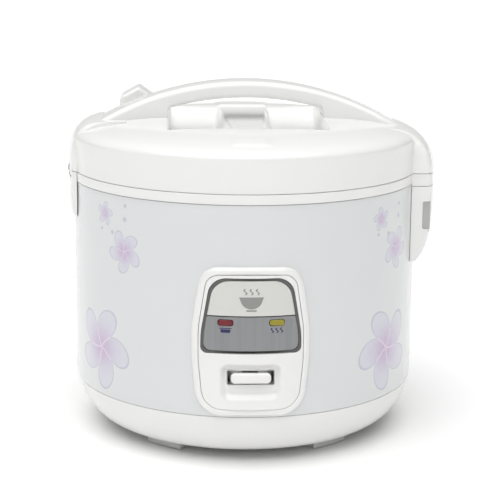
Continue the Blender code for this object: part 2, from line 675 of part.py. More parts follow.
# ---- hinge --------------------------------------------------------------------------------------
def make_hinge():
    bend = [(BODY_R + (HINGE_R - BODY_R) * math.cos(t), 175 - 13 * math.sin(t))
            for t in (math.pi / 2 * i / 6 for i in range(7))]
    outline = [(120, RING_Z1), (HINGE_R, RING_Z1)] + bend + [(120, bend[-1][1])]
    cover = add("hinge_cover", turned(outline), "base", "white_plastic")
    keep_inside(cover, helper("keep_cover", block((-150, -HINGE_HALF, 150), (-60, HINGE_HALF, 210)), "base"))
    cut(cover, round_clearance("cut_cover_shell", RING_R + GAP, 90, 210))
    inner = HINGE_R - 1.4
    cut(cover, sector("cut_cover_room", [(110, 166), (inner, 166), (inner, 200), (110, 200)], 33, -1))
    cut(cover, helper("cut_cover_groove", rod("Y", HINGE_AXIS, BODY_GROOVE_R, -40, 40, 24), "base"))

    z = HINGE_AXIS[1]
    plate_r = (RING_R + 0.5, RING_R + 1.4)
    top = z - 2.2
    plate = [(plate_r[0], 168), (plate_r[1], 168), (plate_r[1], top), (plate_r[0], top)]
    bracket = add("hinge_bracket", turned(plate), "base", "steel")
    keep_inside(bracket, helper("keep_bracket", block((-150, -22, 150), (-60, 22, 210)), "base"))
    cut(bracket, helper("cut_bracket_top", block((-150, -16.2, 192.3), (-60, 16.2, 200)), "base"))
    for number, (low, high) in enumerate(((-22, -16.2), (16.2, 22))):
        join(bracket, helper(f"join_knuckle_{number}", rod("Y", HINGE_AXIS, KNUCKLE_R, low, high), "base"))
    cut(bracket, helper("cut_bracket_bore", rod("Y", HINGE_AXIS, BORE_R, -30, 30), "base"))
    add("hinge_pin", rod("Y", HINGE_AXIS, PIN_R, -23.5, 23.5), "base", "steel")
    add("hinge_spring", tube_along(coil("Y", HINGE_AXIS, 2.6, -6.6, 6.6, 6), 0.5, 4), "base", "steel")

    arm = add("hinge_arm", block((-127, -15.6, 199.6), (-115.0, 15.6, 201.4)), "lid", "steel")
    for number, (low, high) in enumerate(((-15.6, -8), (8, 15.6))):
        knuckle = helper(f"join_lid_knuckle_{number}", rod("Y", HINGE_AXIS, KNUCKLE_R, low, high), "lid")
        join(arm, knuckle)
        join(arm, helper(f"join_web_{number}", block((-128.6, low, 198.9), (-124.8, high, 200.6)), "lid"))
    cut(arm, helper("cut_arm_bore", rod("Y", HINGE_AXIS, BORE_R, -30, 30), "lid"))


# ---- lid ----------------------------------------------------------------------------------------
def well_outline(grow, sink, top):
    """The hand well across Y: a shallow bowl, its wall grown outwards and its rim sunk."""
    half = WELL_HALF_Y + grow
    bowl = arc(WELL_Y, CREST_Z - sink, half, WELL_DEPTH - sink + grow, 180, 360, 16)
    return [(WELL_Y - half, top)] + bowl + [(WELL_Y + half, top)]


def make_lid_cover():
    outer = lid_line()
    inner = offset(outer, -LID_T)
    inner = [(0, CREST_Z - LID_T)] + inner[2:-1:2] + [(RING_R - LID_T, LID_Z0)]
    lid = add("lid_cover", turned(outer + inner[::-1]), "lid", "white_plastic")

    latch = [(108.5, 226)] + superellipse(108.5, LID_Z0, LATCH_R - 108.5, 32.7, 2.1, 8)[::-1] + [
        (123.2, LID_Z0), (123.2, 222)]
    hinge = [(104.5, 226)] + superellipse(104.5, LID_Z0, HINGE_R - 104.5, 36.0, 2.9, 8)[::-1] + [
        (122.8, LID_Z0), (122.8, 222)]
    join(lid, sector("join_lid_latch", latch, LATCH_HALF, 1, "lid"))
    join(lid, sector("join_lid_hinge", hinge, HINGE_HALF, -1, "lid"))

    tub = well_outline(LID_T, 3, CREST_Z - 2.9)
    join(lid, helper("join_tub", prism(tub, "X", -WELL_HALF_X - LID_T, WELL_HALF_X + LID_T), "lid"))
    well = well_outline(0, 0, CREST_Z + 6)
    cut(lid, helper("cut_well", prism(well, "X", -WELL_HALF_X, WELL_HALF_X), "lid"))
    join(lid, make_pod())

    cut(lid, helper("cut_lid_hinge", rod("Y", HINGE_AXIS, LID_GROOVE_R, -37, 37, 24), "lid"))
    cut(lid, helper("cut_strap", block((-127, -16.2, 198.8), (-115, 16.2, 202)), "lid"))
    cut(lid, helper("cut_hook_pocket", block((134.5, -8.5, 190), (137.5, 8.5, 205.5)), "lid"))
    cut(lid, helper("cut_vent", rod("Z", VENT, 9.0, 215, 250, 24), "lid"))


def make_pod():
    """The raised bridge in the middle of the hand well, wider and higher at the back."""
    plan = ((-POD_FRONT_HALF, -69), (POD_FRONT_HALF, -69), (POD_BACK_HALF, 57.5), (-POD_BACK_HALF, 57.5))
    bm = prism(plan, "Z", WELL_FLOOR_Z - 0.5, POD_FRONT_Z)
    bm.verts.ensure_lookup_table()
    for corner in (6, 7):
        bm.verts[corner].co.z = POD_BACK_Z
    pod = helper("join_pod", bm, "lid")
    room = well_outline(LID_T - 0.3, 3, CREST_Z + 6)
    keep_inside(pod, helper("keep_pod", prism(room, "X", -WELL_HALF_X, WELL_HALF_X), "lid"))
    return pod


def make_handle():
    reach = {"handle_upper": (HANDLE_R_SPLIT + GAP, HANDLE_R_OUT, HANDLE_HALF),
             "handle_lower": (HANDLE_R_IN, HANDLE_R_SPLIT, HANDLE_HALF - 1.5)}
    for name, (low, high, half) in reach.items():
        span = math.degrees(math.asin(HANDLE_END_X / high))
        outline = arc(0, HANDLE_CENTRE_Z, high, high, 90 - span, 90 + span, 22)
        if name == "handle_lower":       # beyond the hand well it stands on the lid's deck
            span = math.degrees(math.asin(HANDLE_FOOT_X / low))
            outline += [(-HANDLE_END_X, 224), (-HANDLE_FOOT_X, 224)]
            outline += arc(0, HANDLE_CENTRE_Z, low, low, 90 + span, 90 - span, 14)
            outline += [(HANDLE_FOOT_X, 224), (HANDLE_END_X, 224)]
        else:
            outline += arc(0, HANDLE_CENTRE_Z, low, low, 90 + span, 90 - span, 22)
        piece = add(name, prism(outline, "Y", -half, half), "lid", "white_plastic")
        cut(piece, lid_clearance("clear_" + name, "lid"))


def make_lid_inside():
    step = 112.4
    liner = [(0, 203), (step, 203), (step, 197), (122.4, 197), (122.4, 199.2), (step + 2.2, 199.2),
             (step + 2.2, 205.5), (0, 205.5)]
    liner_piece = add("lid_liner", turned(liner, MEDIUM), "lid", "white_plastic")
    cut(liner_piece, helper("cut_liner_vent", rod("Z", VENT, 6.0, 190, 215), "lid"))
    plate = [(3.2, 199.5), (97.6, 199.5), (105, 196.4), (105, 197.6), (98, 200.7), (3.2, 200.7)]
    plate_piece = add("inner_lid_plate", turned(plate, MEDIUM), "lid", "aluminium")
    cut(plate_piece, helper("cut_plate_vent", rod("Z", VENT, 6.0, 190, 215), "lid"))
    gasket = [(105.4, 196.7), (118.5, 196.7), (118.5, 195), (116, 193.4), (112, 193.4), (110, 195),
              (105.4, 195)]
    add("lid_gasket", turned(gasket, MEDIUM), "lid", "silicone")
    stud = [(0, 195.5), (4.5, 195.5), (4.5, 199.2), (2.8, 199.2), (2.8, 202.7), (0, 202.7)]
    add("lid_stud", turned(stud, 16), "lid", "steel")
    hook = [(135, 175.2), (133.3, 175.2), (133.3, 174), (134.5, 172.6), (137, 172.6), (137, 205), (135, 205)]
    add("latch_hook", prism(hook, "Y", -8, 8), "lid", "steel")


def make_steam_vent():
    tube = [(7.0, 205.8), (8.6, 205.8), (8.6, 231.0), (7.0, 231.0)]
    add("steam_vent_tube", turned(tube, 24, VENT), "lid", "white_plastic")
    roof = [(-95.2, 222)] + arc(-83.0, 243.0, 12.2, 7.6, 180, 90, 5)
    roof += [(-80.6, 250.3), (-60, 238.0), (-58, 222)]
    cap = add("steam_vent_cap", prism(roof, "Y", VENT[1] - 15, VENT[1] + 15), "steam_cap", "white_plastic")
    cut(cap, lid_clearance("clear_cap", "steam_cap"))
    join(cap, helper("join_spigot", rod("Z", VENT, 6.6, 224, 240, 24), "steam_cap"))
    cut(cap, helper("cut_bore", rod("Z", VENT, 4.6, 220, 243), "steam_cap"))
    outlet = block((VENT[0], VENT[1] - 3.5, 234.8), (-50, VENT[1] + 3.5, 237.2))
    cut(cap, helper("cut_outlet", outlet, "steam_cap"))


def make_cooker():
    make_base_pan()
    make_feet()
    make_base_screws()
    make_body_shell()
    make_upper_ring()
    make_inner_casing()
    make_pot()
    make_heater()
    make_thermostat()
    make_lever()
    make_wiring()
    make_inlet()
    make_panel()
    make_latch()
    make_hinge()
    make_lid_cover()
    make_handle()
    make_lid_inside()
    make_steam_vent()


clear_scene()
MADE = make_materials()
EMPTIES = make_empties()
make_cooker()
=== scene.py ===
"""Looks of the jar rice cooker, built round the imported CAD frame.

Lengths are millimetres from the body's axis (X = Y = 0) and the table (Z = 0): place() turns them into
metres and puts the piece on the frame. The control panel faces -Y and the release button is at +X.
"""

import json
from math import acos, asin, copysign, cos, degrees, hypot, pi, radians, sin, sqrt, tan

import bmesh
import bpy
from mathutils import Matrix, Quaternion, Vector


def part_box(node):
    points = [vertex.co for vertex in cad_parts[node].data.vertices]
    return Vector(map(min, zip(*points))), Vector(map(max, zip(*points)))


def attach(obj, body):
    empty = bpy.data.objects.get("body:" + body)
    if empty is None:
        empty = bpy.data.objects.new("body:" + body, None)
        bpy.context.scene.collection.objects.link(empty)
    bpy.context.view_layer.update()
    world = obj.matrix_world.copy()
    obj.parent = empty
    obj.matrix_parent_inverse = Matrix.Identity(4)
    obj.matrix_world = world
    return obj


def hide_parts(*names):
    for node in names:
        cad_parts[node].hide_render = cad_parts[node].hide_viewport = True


MM = 0.001
GAP = 0.3  # between pieces that touch
SHARP = radians(35)  # edges that turn by more than this stay sharp
WHITE = "white_plastic"  # the slot of most pieces

# ---- sizes, as in the CAD but for the X of the hand well and of the handle's foot ----
BODY_R = 128.5  # painted shell
SHELL_T = 1.2
LID_T = 2.2
RING_R = 129.0  # upper ring and lid
BASE_Z = 5.8
SHELL_Z0, SHELL_Z1 = 38.8, 189.0
RING_Z1 = 196.3
LID_Z0 = RING_Z1 + GAP
SHOULDER_Z = 219.5
CREST_Z = 234.0
DECK_R = 118.0
DECK_DROP, DECK_POWER = 6.5, 5
BOWL_Z, BOWL_R, BOWL_H, BOWL_POWER = 45.0, 26.1, 38.3, 1.76
WELL_HALF_X, WELL_HALF_Y, WELL_Y, WELL_DEPTH = 57.0, 64.0, -6.0, 16.0
POD_FRONT_HALF, POD_BACK_HALF = 15.0, 22.5
POD_FRONT_Y, POD_BACK_Y = -69.0, 57.5
POD_FRONT_Z, POD_BACK_Z = 231.0, 233.4
HANDLE_CENTRE_Z = 41.5
HANDLE_R_OUT, HANDLE_R_IN = 219.0, 207.0
HANDLE_HALF = 15.0
HANDLE_FOOT_X = 55.5  # the handle stands on the deck from here on
LATCH_HALF, HINGE_HALF = 44.0, 36.0
LATCH_R, HINGE_R = 142.1, 132.2
LATCH_Z0, LATCH_Z1 = 130.5, 187.0
LATCH_BEND_Z, LATCH_BEND_H = 172.0, 43.0
HINGE_AXIS = (-128.3, 196.8)  # X, Z
GROOVE_END, BARREL_START = 30.5, 23.8
KNUCKLE_END, ARM_HALF = 22.0, 16.2  # the lid's hinge arm runs between the knuckles
BUTTON_HALF, BUTTON_Z0, BUTTON_Z1, BUTTON_T = 17.6, 141.4, 178.6, 2.2
WALL_T = 2.4  # of the latch housing
PANEL_Z0, PANEL_Z1 = 40.7, 146.5
PANEL_FRONT_R, PANEL_FRONT_Y = 101.0, -33.0
SPLIT_Z = 112.5
RIM = 1.85  # width of the dark rim round the window
# how far the plates in the window stand behind the bezel's front
RECESS = {"badge_grey": 1.3, "brushed_panel": 1.45}
LAMP_X, LAMP_Z = 17.7, 108.0
VENT = (-78.0, 45.0)
INLET_Z = 24.5
SCREWS = ((90.6, 42.3), (-100.0, 0.0), (90.6, -42.3))
POT_R, POT_T, POT_Z0, POT_Z1 = 112.0, 1.8, 52.0, 192.8

SIDES = 144  # of the large turned pieces

# ---- camera and light ----
AIM_Z = 130.0
CAMERA_DISTANCE = 1170.0
CAMERA_ELEVATION = 12.5  # degrees
CAMERA_AZIMUTH = -2.3  # degrees round from the front, towards +X
CAMERA_ROLL = 0.4
CAMERA_LENS = 110.0
CAMERA_SHIFT_X = 0.0118
WORLD_STRENGTH = 0.50
WORLD_SIDE = 0.30  # the world's brightness at the sides, as a share of the rest
OVERHEAD = 2.55
KEY = 0.5
FLOOR_HALF = 40.0  # metres


# ---- outlines ----
def spread(start, end, steps):
    """Evenly spaced values from start to end."""
    return [start + (end - start) * i / steps for i in range(steps + 1)]


def arc(cx, cy, rx, ry, start, end, steps):
    """Points of an ellipse's arc, angles in degrees."""
    angles = [radians(angle) for angle in spread(start, end, steps)]
    return [(cx + rx * cos(a), cy + ry * sin(a)) for a in angles]


def superellipse(cx, cy, rx, ry, power, steps):
    """A quarter from the +X end to the +Y end."""
    points = []
    for angle in spread(0, pi / 2, steps):
        u = max(cos(angle), 0.0) ** (2 / power)
        v = max(sin(angle), 0.0) ** (2 / power)
        points.append((cx + rx * u, cy + ry * v))
    return points


def rounded(corners, steps=5):
    """A closed outline; a corner given as (x, y, radius) is filleted, one given as (x, y) stays sharp."""
    points = []
    count = len(corners)
    for i in range(count):
        x, y, radius = (*corners[i], 0)[:3]
        corner = Vector((x, y))
        if not radius:
            points.append(tuple(corner))
            continue
        to_before = (Vector(corners[i - 1][:2]) - corner).normalized()
        to_after = (Vector(corners[(i + 1) % count][:2]) - corner).normalized()
        half = to_before.angle(to_after) / 2
        reach = radius / tan(half)
        centre = corner + (to_before + to_after).normalized() * (radius / sin(half))
        first = corner + to_before * reach - centre
        turn = first.angle_signed(corner + to_after * reach - centre)
        for angle in spread(0, -turn, steps):
            c, s = cos(angle), sin(angle)
            points.append((centre.x + first.x * c - first.y * s, centre.y + first.x * s + first.y * c))
    return points


def rectangle(x0, y0, x1, y1, radii=0.0, steps=5):
    """A closed rectangle; radii is one number, or four that start at (x0, y0)."""
    corners = ((x0, y0), (x1, y0), (x1, y1), (x0, y1))
    radii = radii if isinstance(radii, tuple) else (radii,) * 4
    return rounded([(x, y, radius) for (x, y), radius in zip(corners, radii)], steps)


def both_sides(right):
    """Corners on the +X side, then their mirror images."""
    return right + [(-x, *rest) for x, *rest in right[::-1]]


def inset(outline, distance):
    """A closed outline moved towards its inside."""
    area = sum(a[0] * b[1] - b[0] * a[1] for a, b in zip(outline, outline[1:] + outline[:1]))
    side = 1 if area > 0 else -1
    count = len(outline)
    moved = []
    for i in range(count):
        here = Vector(outline[i])
        before = (here - Vector(outline[i - 1])).normalized()
        after = (Vector(outline[(i + 1) % count]) - here).normalized()
        normals = Vector((-before.y, before.x)), Vector((-after.y, after.x))
        mitre = normals[0] + normals[1]
        mitre = mitre.normalized() if mitre.length > 1e-6 else normals[0]
        shift = distance / max(mitre.dot(normals[0]), 0.5)
        moved.append(tuple(here + mitre * shift * side))
    return moved


# ---- meshes ----
def bridge(bm, a, b, closed=True):
    """Quads between two rings of the same length; a ring of one vertex is a pole."""
    count = max(len(a), len(b))
    for i in range(count if closed else count - 1):
        k = (i + 1) % count
        corners = list(dict.fromkeys((a[i % len(a)], a[k % len(a)], b[k % len(b)], b[i % len(b)])))
        if len(corners) > 2:
            bm.faces.new(corners)


def turned(outline, sides=SIDES, centre=(0, 0)):
    """A closed (radius, Z) outline turned about the vertical line through centre."""
    bm = bmesh.new()
    x, y = centre
    angles = [2 * pi * (i + 0.5) / sides for i in range(sides)]
    rings = []
    for radius, z in outline:
        ring = [(x + radius * cos(a), y + radius * sin(a), z) for a in angles]
        rings.append([bm.verts.new(point) for point in (ring if radius > 1e-6 else [(x, y, z)])])
    for a, b in zip(rings, rings[1:] + rings[:1]):
        bridge(bm, a, b)
    return bm


AXES = {
    "X": lambda p, t: (t, p[0], p[1]),
    "Y": lambda p, t: (p[0], t, p[1]),
    "Z": lambda p, t: (p[0], p[1], t),
}


def loft(rings):
    """A solid through rings of points, flat at both ends."""
    bm = bmesh.new()
    made = [[bm.verts.new(point) for point in ring] for ring in rings]
    for a, b in zip(made, made[1:]):
        bridge(bm, a, b)
    bm.faces.new(made[0][::-1])
    bm.faces.new(made[-1])
    return bm


def stack(levels):
    """A solid through outlines at rising or falling heights: [(outline, z), ...]."""
    return loft([[(x, y, z) for x, y in outline] for outline, z in levels])


def edge_steps(radius, steps):
    """(how far in, how far along) for each ring of a rounded edge, from the end face inwards."""
    return [(radius * (1 - sin(a)), radius * (1 - cos(a))) for a in spread(0, pi / 2, steps)]


def prism(outline, axis, low, high, low_radius=0.0, high_radius=0.0, steps=4):
    """A closed outline extruded along an axis, with its end edges rounded."""
    rings = []
    for end, radius in ((low, low_radius), (high, high_radius)):
        side = 1 if end == low else -1
        set_in = edge_steps(radius, steps) if radius else [(0.0, 0.0)]
        found = [(inset(outline, far) if far else outline, end + side * along) for far, along in set_in]
        rings += found if end == low else found[::-1]
    return loft([[AXES[axis](p, t) for p in line] for line, t in rings])


def rod(axis, centre, radius, low, high, sides=32, edge=0.0):
    """A cylinder along an axis; centre is given in the other two coordinates."""
    return prism(arc(*centre, radius, radius, 0, 360 - 360 / sides, sides - 1), axis, low, high, edge, edge)


def linked(name, data):
    """A new object in the scene."""
    item = bpy.data.objects.new(name, data)
    bpy.context.collection.objects.link(item)
    return item


def place(name, bm):
    """A new object from a mesh in millimetres about the body's axis."""
    for vertex in bm.verts:
        vertex.co *= MM
    bmesh.ops.recalc_face_normals(bm, faces=bm.faces)
    mesh = bpy.data.meshes.new(name)
    bm.to_mesh(mesh)
    bm.free()
    mesh.shade_smooth()
    mesh.set_sharp_from_angle(angle=SHARP)
    item = linked(name, mesh)
    item.location = AXIS
    return item


def settle(item, body, slot, *nodes, material=None):
    """Parents a piece to its CAD body, gives it the slot's look unless a material is named, and hides the CAD
    nodes given.
    """
    item.data.materials.clear()
    item.data.materials.append(MATERIALS[material or slot])
    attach(item, body)
    if nodes:
        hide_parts(*nodes)


def carve(item, operation, *others):
    """Applies booleans with other shapes, which are used up."""
    for other in others:
        modifier = item.modifiers.new(other.name, "BOOLEAN")
        modifier.operation = operation
        modifier.solver = "EXACT"
        modifier.object = other
    graph = bpy.context.evaluated_depsgraph_get()
    mesh = bpy.data.meshes.new_from_object(item.evaluated_get(graph))
    item.modifiers.clear()
    item.data = mesh
    mesh.set_sharp_from_angle(angle=SHARP)
    for other in others:
        bpy.data.objects.remove(other, do_unlink=True)


def cut(item, *others):
    carve(item, "DIFFERENCE", *others)


def ease(item, width):
    """Rounds the sharp edges of a finished piece."""
    modifier = item.modifiers.new("eased edges", "BEVEL")
    modifier.width = width * MM
    modifier.segments = 3
    modifier.limit_method = "ANGLE"
    modifier.angle_limit = radians(40)
    modifier.harden_normals = True


# ---- shapes for booleans ----
def cutter(bm):
    return place("cutter", bm)


def pushed(outline, axis, low, high):
    return cutter(prism(outline, axis, low, high))


def block(low, high):
    return pushed(rectangle(*low[:2], *high[:2]), "Z", low[2], high[2])


def drum(radius, low, high, sides=SIDES, centre=(0, 0)):
    """An upright cylinder about the body's axis or another centre."""
    return cutter(turned([(0, low), (radius, low), (radius, high), (0, high)], sides, centre))


def hinge_rod(radius, low, high, sides=48):
    return cutter(rod("Y", HINGE_AXIS, radius, low, high, sides))


def hinge_groove(radius):
    return hinge_rod(radius, -GROOVE_END, GROOVE_END)


def hinge_reach():
    """Everything inside the hinge cover's outer face."""
    return drum(HINGE_R - 0.1, 100, 260)


def arm_slot():
    """The notch in the lid for its hinge arm."""
    return block((-127, -ARM_HALF, 198.8), (-115, ARM_HALF, 202))


def front_cutter(outline):
    """An outline pushed through the control panel."""
    return pushed(outline, "Y", -145, -90)


# ---- shared profiles ----
def smooth(x, start, end):
    """0 before start, 1 after end, and an S between them."""
    t = min(max((x - start) / (end - start), 0.0), 1.0)
    return t * t * (3 - 2 * t)


def soft_max(a, b, reach):
    """The larger of two heights, with the crease between them filled over reach."""
    h = max(reach - abs(a - b), 0.0)
    return max(a, b) + h * h / (4 * reach)


def bowl_line(low, high, steps):
    """The base bowl's outer line, from its foot up to a height."""
    points = []
    for i in range(steps + 1):
        z = low + (high - low) * (i / steps) ** 1.6
        v = (BOWL_Z - z) / BOWL_H
        u = max(1 - v ** BOWL_POWER, 0.0) ** (1 / BOWL_POWER)
        points.append((BODY_R - BOWL_R + BOWL_R * u, z))
    return points


def deck_z(radius):
    return CREST_Z - DECK_DROP * (radius / DECK_R) ** DECK_POWER


def shoulder_line(depth):
    """The lid's profile past the edge of its deck, round the shoulder and down to the parting line."""
    slope = DECK_DROP * DECK_POWER / DECK_R
    side = RING_R - DECK_R
    rise = deck_z(DECK_R) - SHOULDER_Z
    share = slope * side / rise           # makes the shoulder meet the deck without a kink
    cosine = share / (1 - share)
    rx = side / (1 - cosine)
    rz = rise / sqrt(1 - cosine ** 2)
    end = degrees(acos(cosine))
    line = arc(RING_R - rx, SHOULDER_Z, rx - depth, rz - depth, end, 0, 14)
    line += [(RING_R - depth, 212), (RING_R - depth, 204)]
    if depth:
        return line + [(RING_R - depth, LID_Z0)]
    return line + arc(RING_R - 0.7, LID_Z0 + 0.7, 0.7, 0.7, 0, -90, 4)


def latch_x(z):
    """How far out the latch housing stands at a height."""
    drop = min(max((LATCH_BEND_Z - z) / LATCH_BEND_H, 0.0), 1.0)
    return BODY_R + (LATCH_R - BODY_R) * sqrt(1 - drop * drop)


def lug_plan(inner, reach, half, radius):
    """A lug seen from above: its root at inner, its outer face turned about the body's axis."""
    side = copysign(1, inner)
    end = asin(half / reach)
    corner = side * reach * cos(end)
    sweep = end - 0.9 * radius / reach
    face = [(side * reach * cos(a), reach * sin(a)) for a in spread(-sweep, sweep, 18)]
    corners = [(inner, -half), (corner, -half, radius)] + face + [(corner, half, radius), (inner, half)]
    return rounded(corners, 6)


def panel_outline(margin):
    """The control panel's outline, drawn in by margin."""
    half = 41.4 - margin
    return rounded(both_sides([(34.5 - margin * 0.8, PANEL_Z1 - margin, 15 - margin), (half, 103, 60),
                               (half, 80, 80), (37.5 - margin * 0.9, PANEL_Z0 + margin, 19 - margin)]), 14)


def window_outline(margin):
    return rounded(both_sides([(28.0 - margin, 139.6 - margin, 13), (34.8 - margin, 100, 60),
                               (35.0 - margin, 85.9 + margin, 4.5)]), 10)


def panel_y(x, recess=0.0):
    """The panel's curved front, set back by recess."""
    return PANEL_FRONT_Y - sqrt((PANEL_FRONT_R - recess) ** 2 - x * x)


def wall_y(x):
    """Just inside the painted shell's outer face."""
    return -sqrt((BODY_R - 0.4) ** 2 - x * x)


# ---- base ----
def make_base():
    outer = [(0, BASE_Z), (88, BASE_Z), (96.4, BASE_Z), (97.4, BASE_Z + 0.3), (98.4, BASE_Z + 0.9)]
    outer += bowl_line(6.9, 37.9, 26) + [(127.6, 38.5)]
    inner = [(125.2, 38.5), (124.2, 34), (119.5, 24), (111, 13), (101, 9), (96.5, 8.2), (0, 8.2)]
    pan = place("base", turned(outer + inner))
    cuts = [block((-17.4, 90, INLET_Z - 12), (17.4, 140, INLET_Z + 12))]
    for number in range(4):                          # vents in the floor
        vent = block((36, -1.5, 0), (56, 1.5, 20))
        vent.rotation_euler.z = radians(45 + 90 * number)
        cuts.append(vent)
    posts = []
    for x, y in SCREWS:
        posts.append(cutter(rod("Z", (x, y), 5.2, BASE_Z + 2, 38.4)))
        cuts.append(cutter(turned([(0, 0), (4.0, 0), (4.0, 14), (2.0, 14), (2.0, 45), (0, 45)], 32, (x, y))))
    bpy.context.view_layer.update()
    carve(pan, "UNION", *posts)
    cut(pan, *cuts)
    settle(pan, "base", WHITE, "base_pan")

    for name, middle in (("foot_front_right", -51.5), ("foot_front_left", -128.5),
                         ("foot_rear_right", 51.5), ("foot_rear_left", 128.5)):
        ends = [arc(0, 0, r, r, middle - 9 * s, middle + 9 * s, 18) for r, s in ((99, 1), (87, -1))]
        foot = place("pad_" + name, prism(ends[0] + ends[1], "Z", 0, BASE_Z - GAP, 1.2, 0.4))
        settle(foot, "base", "rubber", name)

    outline = [(0, 11.2), (2.6, 11.3), (3.3, 11.8), (3.4, 13.6), (1.6, 13.9), (1.6, 43.5), (0, 44.5)]
    for number, (x, y) in enumerate(SCREWS):
        screw = place(f"screw_{number + 1}", turned(outline, 32, (x, y)))
        cross = [block((x - far_x, y - far_y, 10), (x + far_x, y + far_y, 12.6))
                 for far_x, far_y in ((2.1, 0.4), (0.4, 2.1))]
        cut(screw, *cross)
        settle(screw, "base", "steel", f"base_screw_{number + 1}")


def make_inlet():
    low, high = INLET_Z - 11.5, INLET_Z + 11.5
    face = 126.0
    body = rectangle(-17, low, 17, high, (2.5, 2.5, 5, 5))
    inlet = place("appliance_inlet", prism(body, "Y", 96, face, 0, 0.8))
    mouth = rounded(both_sides([(13.5, low + 3, 1.2), (13.5, high - 7, 0.6), (9.5, high - 3, 0.6)]))
    cuts = [pushed(mouth, "Y", 104, face + 9)]
    pins = {"inlet_pin_live": (-7, 21.0), "inlet_pin_neutral": (7, 21.0), "inlet_pin_earth": (0, 29.0)}
    for name, where in pins.items():
        cuts.append(cutter(rod("Y", where, 2.3, 90, 108)))
        settle(place("contact_" + name, rod("Y", where, 2.0, 92, 121, 32, 1.4)), "base", "brass", name)
    cut(inlet, *cuts)
    settle(inlet, "base", "black_plastic", "power_inlet")


# ---- body ----
def make_body():
    outer = bowl_line(SHELL_Z0, BOWL_Z, 8)[1:] + [(BODY_R, z) for z in (60, 80, 100, 120, 140, 160, 180)]
    outline = [(126.9, SHELL_Z0), (127.8, SHELL_Z0 + 0.1)] + outer
    outline += arc(BODY_R - 0.5, SHELL_Z1 - 0.5, 0.5, 0.5, 0, 90, 4)
    outline += [(BODY_R - SHELL_T, SHELL_Z1), (BODY_R - SHELL_T, 44), (126.4, SHELL_Z0 + 0.6)]
    shell = place("painted_body", turned(outline, 180))
    opening = rounded(both_sides([(30, 58, 8), (27, 132, 8)]))
    cut(shell, pushed(opening, "Y", -140, -100))
    settle(shell, "base", "painted_shell", "body_shell")


def make_ring():
    outline = [(126.8, SHELL_Z1 + GAP)]
    outline += arc(RING_R - 0.6, SHELL_Z1 + GAP + 0.6, 0.6, 0.6, -90, 0, 4) + [(RING_R, 192.5)]
    outline += arc(RING_R - 0.7, RING_Z1 - 0.7, 0.7, 0.7, 0, 90, 4)
    outline += [(120.2, RING_Z1), (119.4, RING_Z1 - 0.8), (119.4, 188.3), (121.4, 188.3), (121.4, 193.8),
                (126.8, 193.8)]
    ring = place("body_ring", turned(outline))
    plan = lug_plan(112, LATCH_R - 0.1, LATCH_HALF, 6.0)
    lug = place("ring_lug", prism(plan, "Z", LATCH_Z1 + GAP, RING_Z1, 0.5, 0.5))
    bore = [(0, 170), (BODY_R + GAP, 170), (BODY_R + GAP, SHELL_Z1 + 0.1), (126.9, SHELL_Z1 + 0.1),
            (126.9, 200), (0, 200)]
    cut(lug, block((131.5, -9.5, 180), (138.8, 9.5, 199)), cutter(turned(bore)))
    cut(ring, hinge_groove(5.6))
    settle(ring, "base", WHITE, "upper_ring")
    settle(lug, "base", WHITE)


# ---- latch and hinge ----
def make_latch():
    edge = 0.35
    levels = [(lug_plan(112, latch_x(z), LATCH_HALF, 5.5), z)
              for z in spread(LATCH_Z1 - edge, LATCH_Z0 + edge, 40)]
    top = (inset(levels[0][0], edge), LATCH_Z1)
    foot = (inset(levels[-1][0], edge), LATCH_Z0)
    housing = place("latch_body", stack([top] + levels + [foot]))
    room = [(lug_plan(105, latch_x(z) - WALL_T, LATCH_HALF - WALL_T, 3.4), z)
            for z in (190, 178, 172, 166, 160, 154, 148, 142, 138, 134)]
    play = 0.4
    opening = rectangle(-BUTTON_HALF - play, BUTTON_Z0 - play, BUTTON_HALF + play, BUTTON_Z1 + play, 3.3)
    window = rectangle(129.4, 155, 138.0, 176, (2.2, 2.2, 1.2, 1.2))
    cut(housing, drum(BODY_R + GAP, 90, 200, 180), cutter(stack(room)),
          pushed(opening, "X", 132, 150), pushed(window, "Y", -50, -41),
          pushed(window, "Y", 41, 50))
    settle(housing, "base", WHITE, "latch_housing")

    face = rectangle(126.5, 153, 135.5, 178, (2.2, 2.2, 1, 1))
    for low, high in ((-41.5, -40.2), (40.2, 41.5)):     # a grey plate behind each side window: painted shade for the hollow inside the latch housing
        # painted shade: grey look on white-slot plates, to darken the side windows
        settle(place("latch_window_shade", prism(face, "Y", low, high)), "base", WHITE,
               material="grey_plastic")

    face = [(latch_x(z), z) for z in spread(BUTTON_Z1 + GAP, BUTTON_Z0 - GAP, 40)]
    button = place("release_cap", turned(face + [(x - BUTTON_T, z) for x, z in face[::-1]]))
    outline = rectangle(-BUTTON_HALF, BUTTON_Z0, BUTTON_HALF, BUTTON_Z1, 3.0)
    carve(button, "INTERSECT", pushed(outline, "X", 125, 150))
    ease(button, 0.8)
    settle(button, "release_button", WHITE, "release_button")
    arms = [(140.4, -13.5), (131.2, -13.5), (131.2, 13.5), (140.4, 13.5), (140.4, 11), (132.9, 11),
            (132.9, -11), (140.4, -11)]
    settle(place("release_catch", prism(arms, "Z", 175.9, 178.3)), "release_button", WHITE)


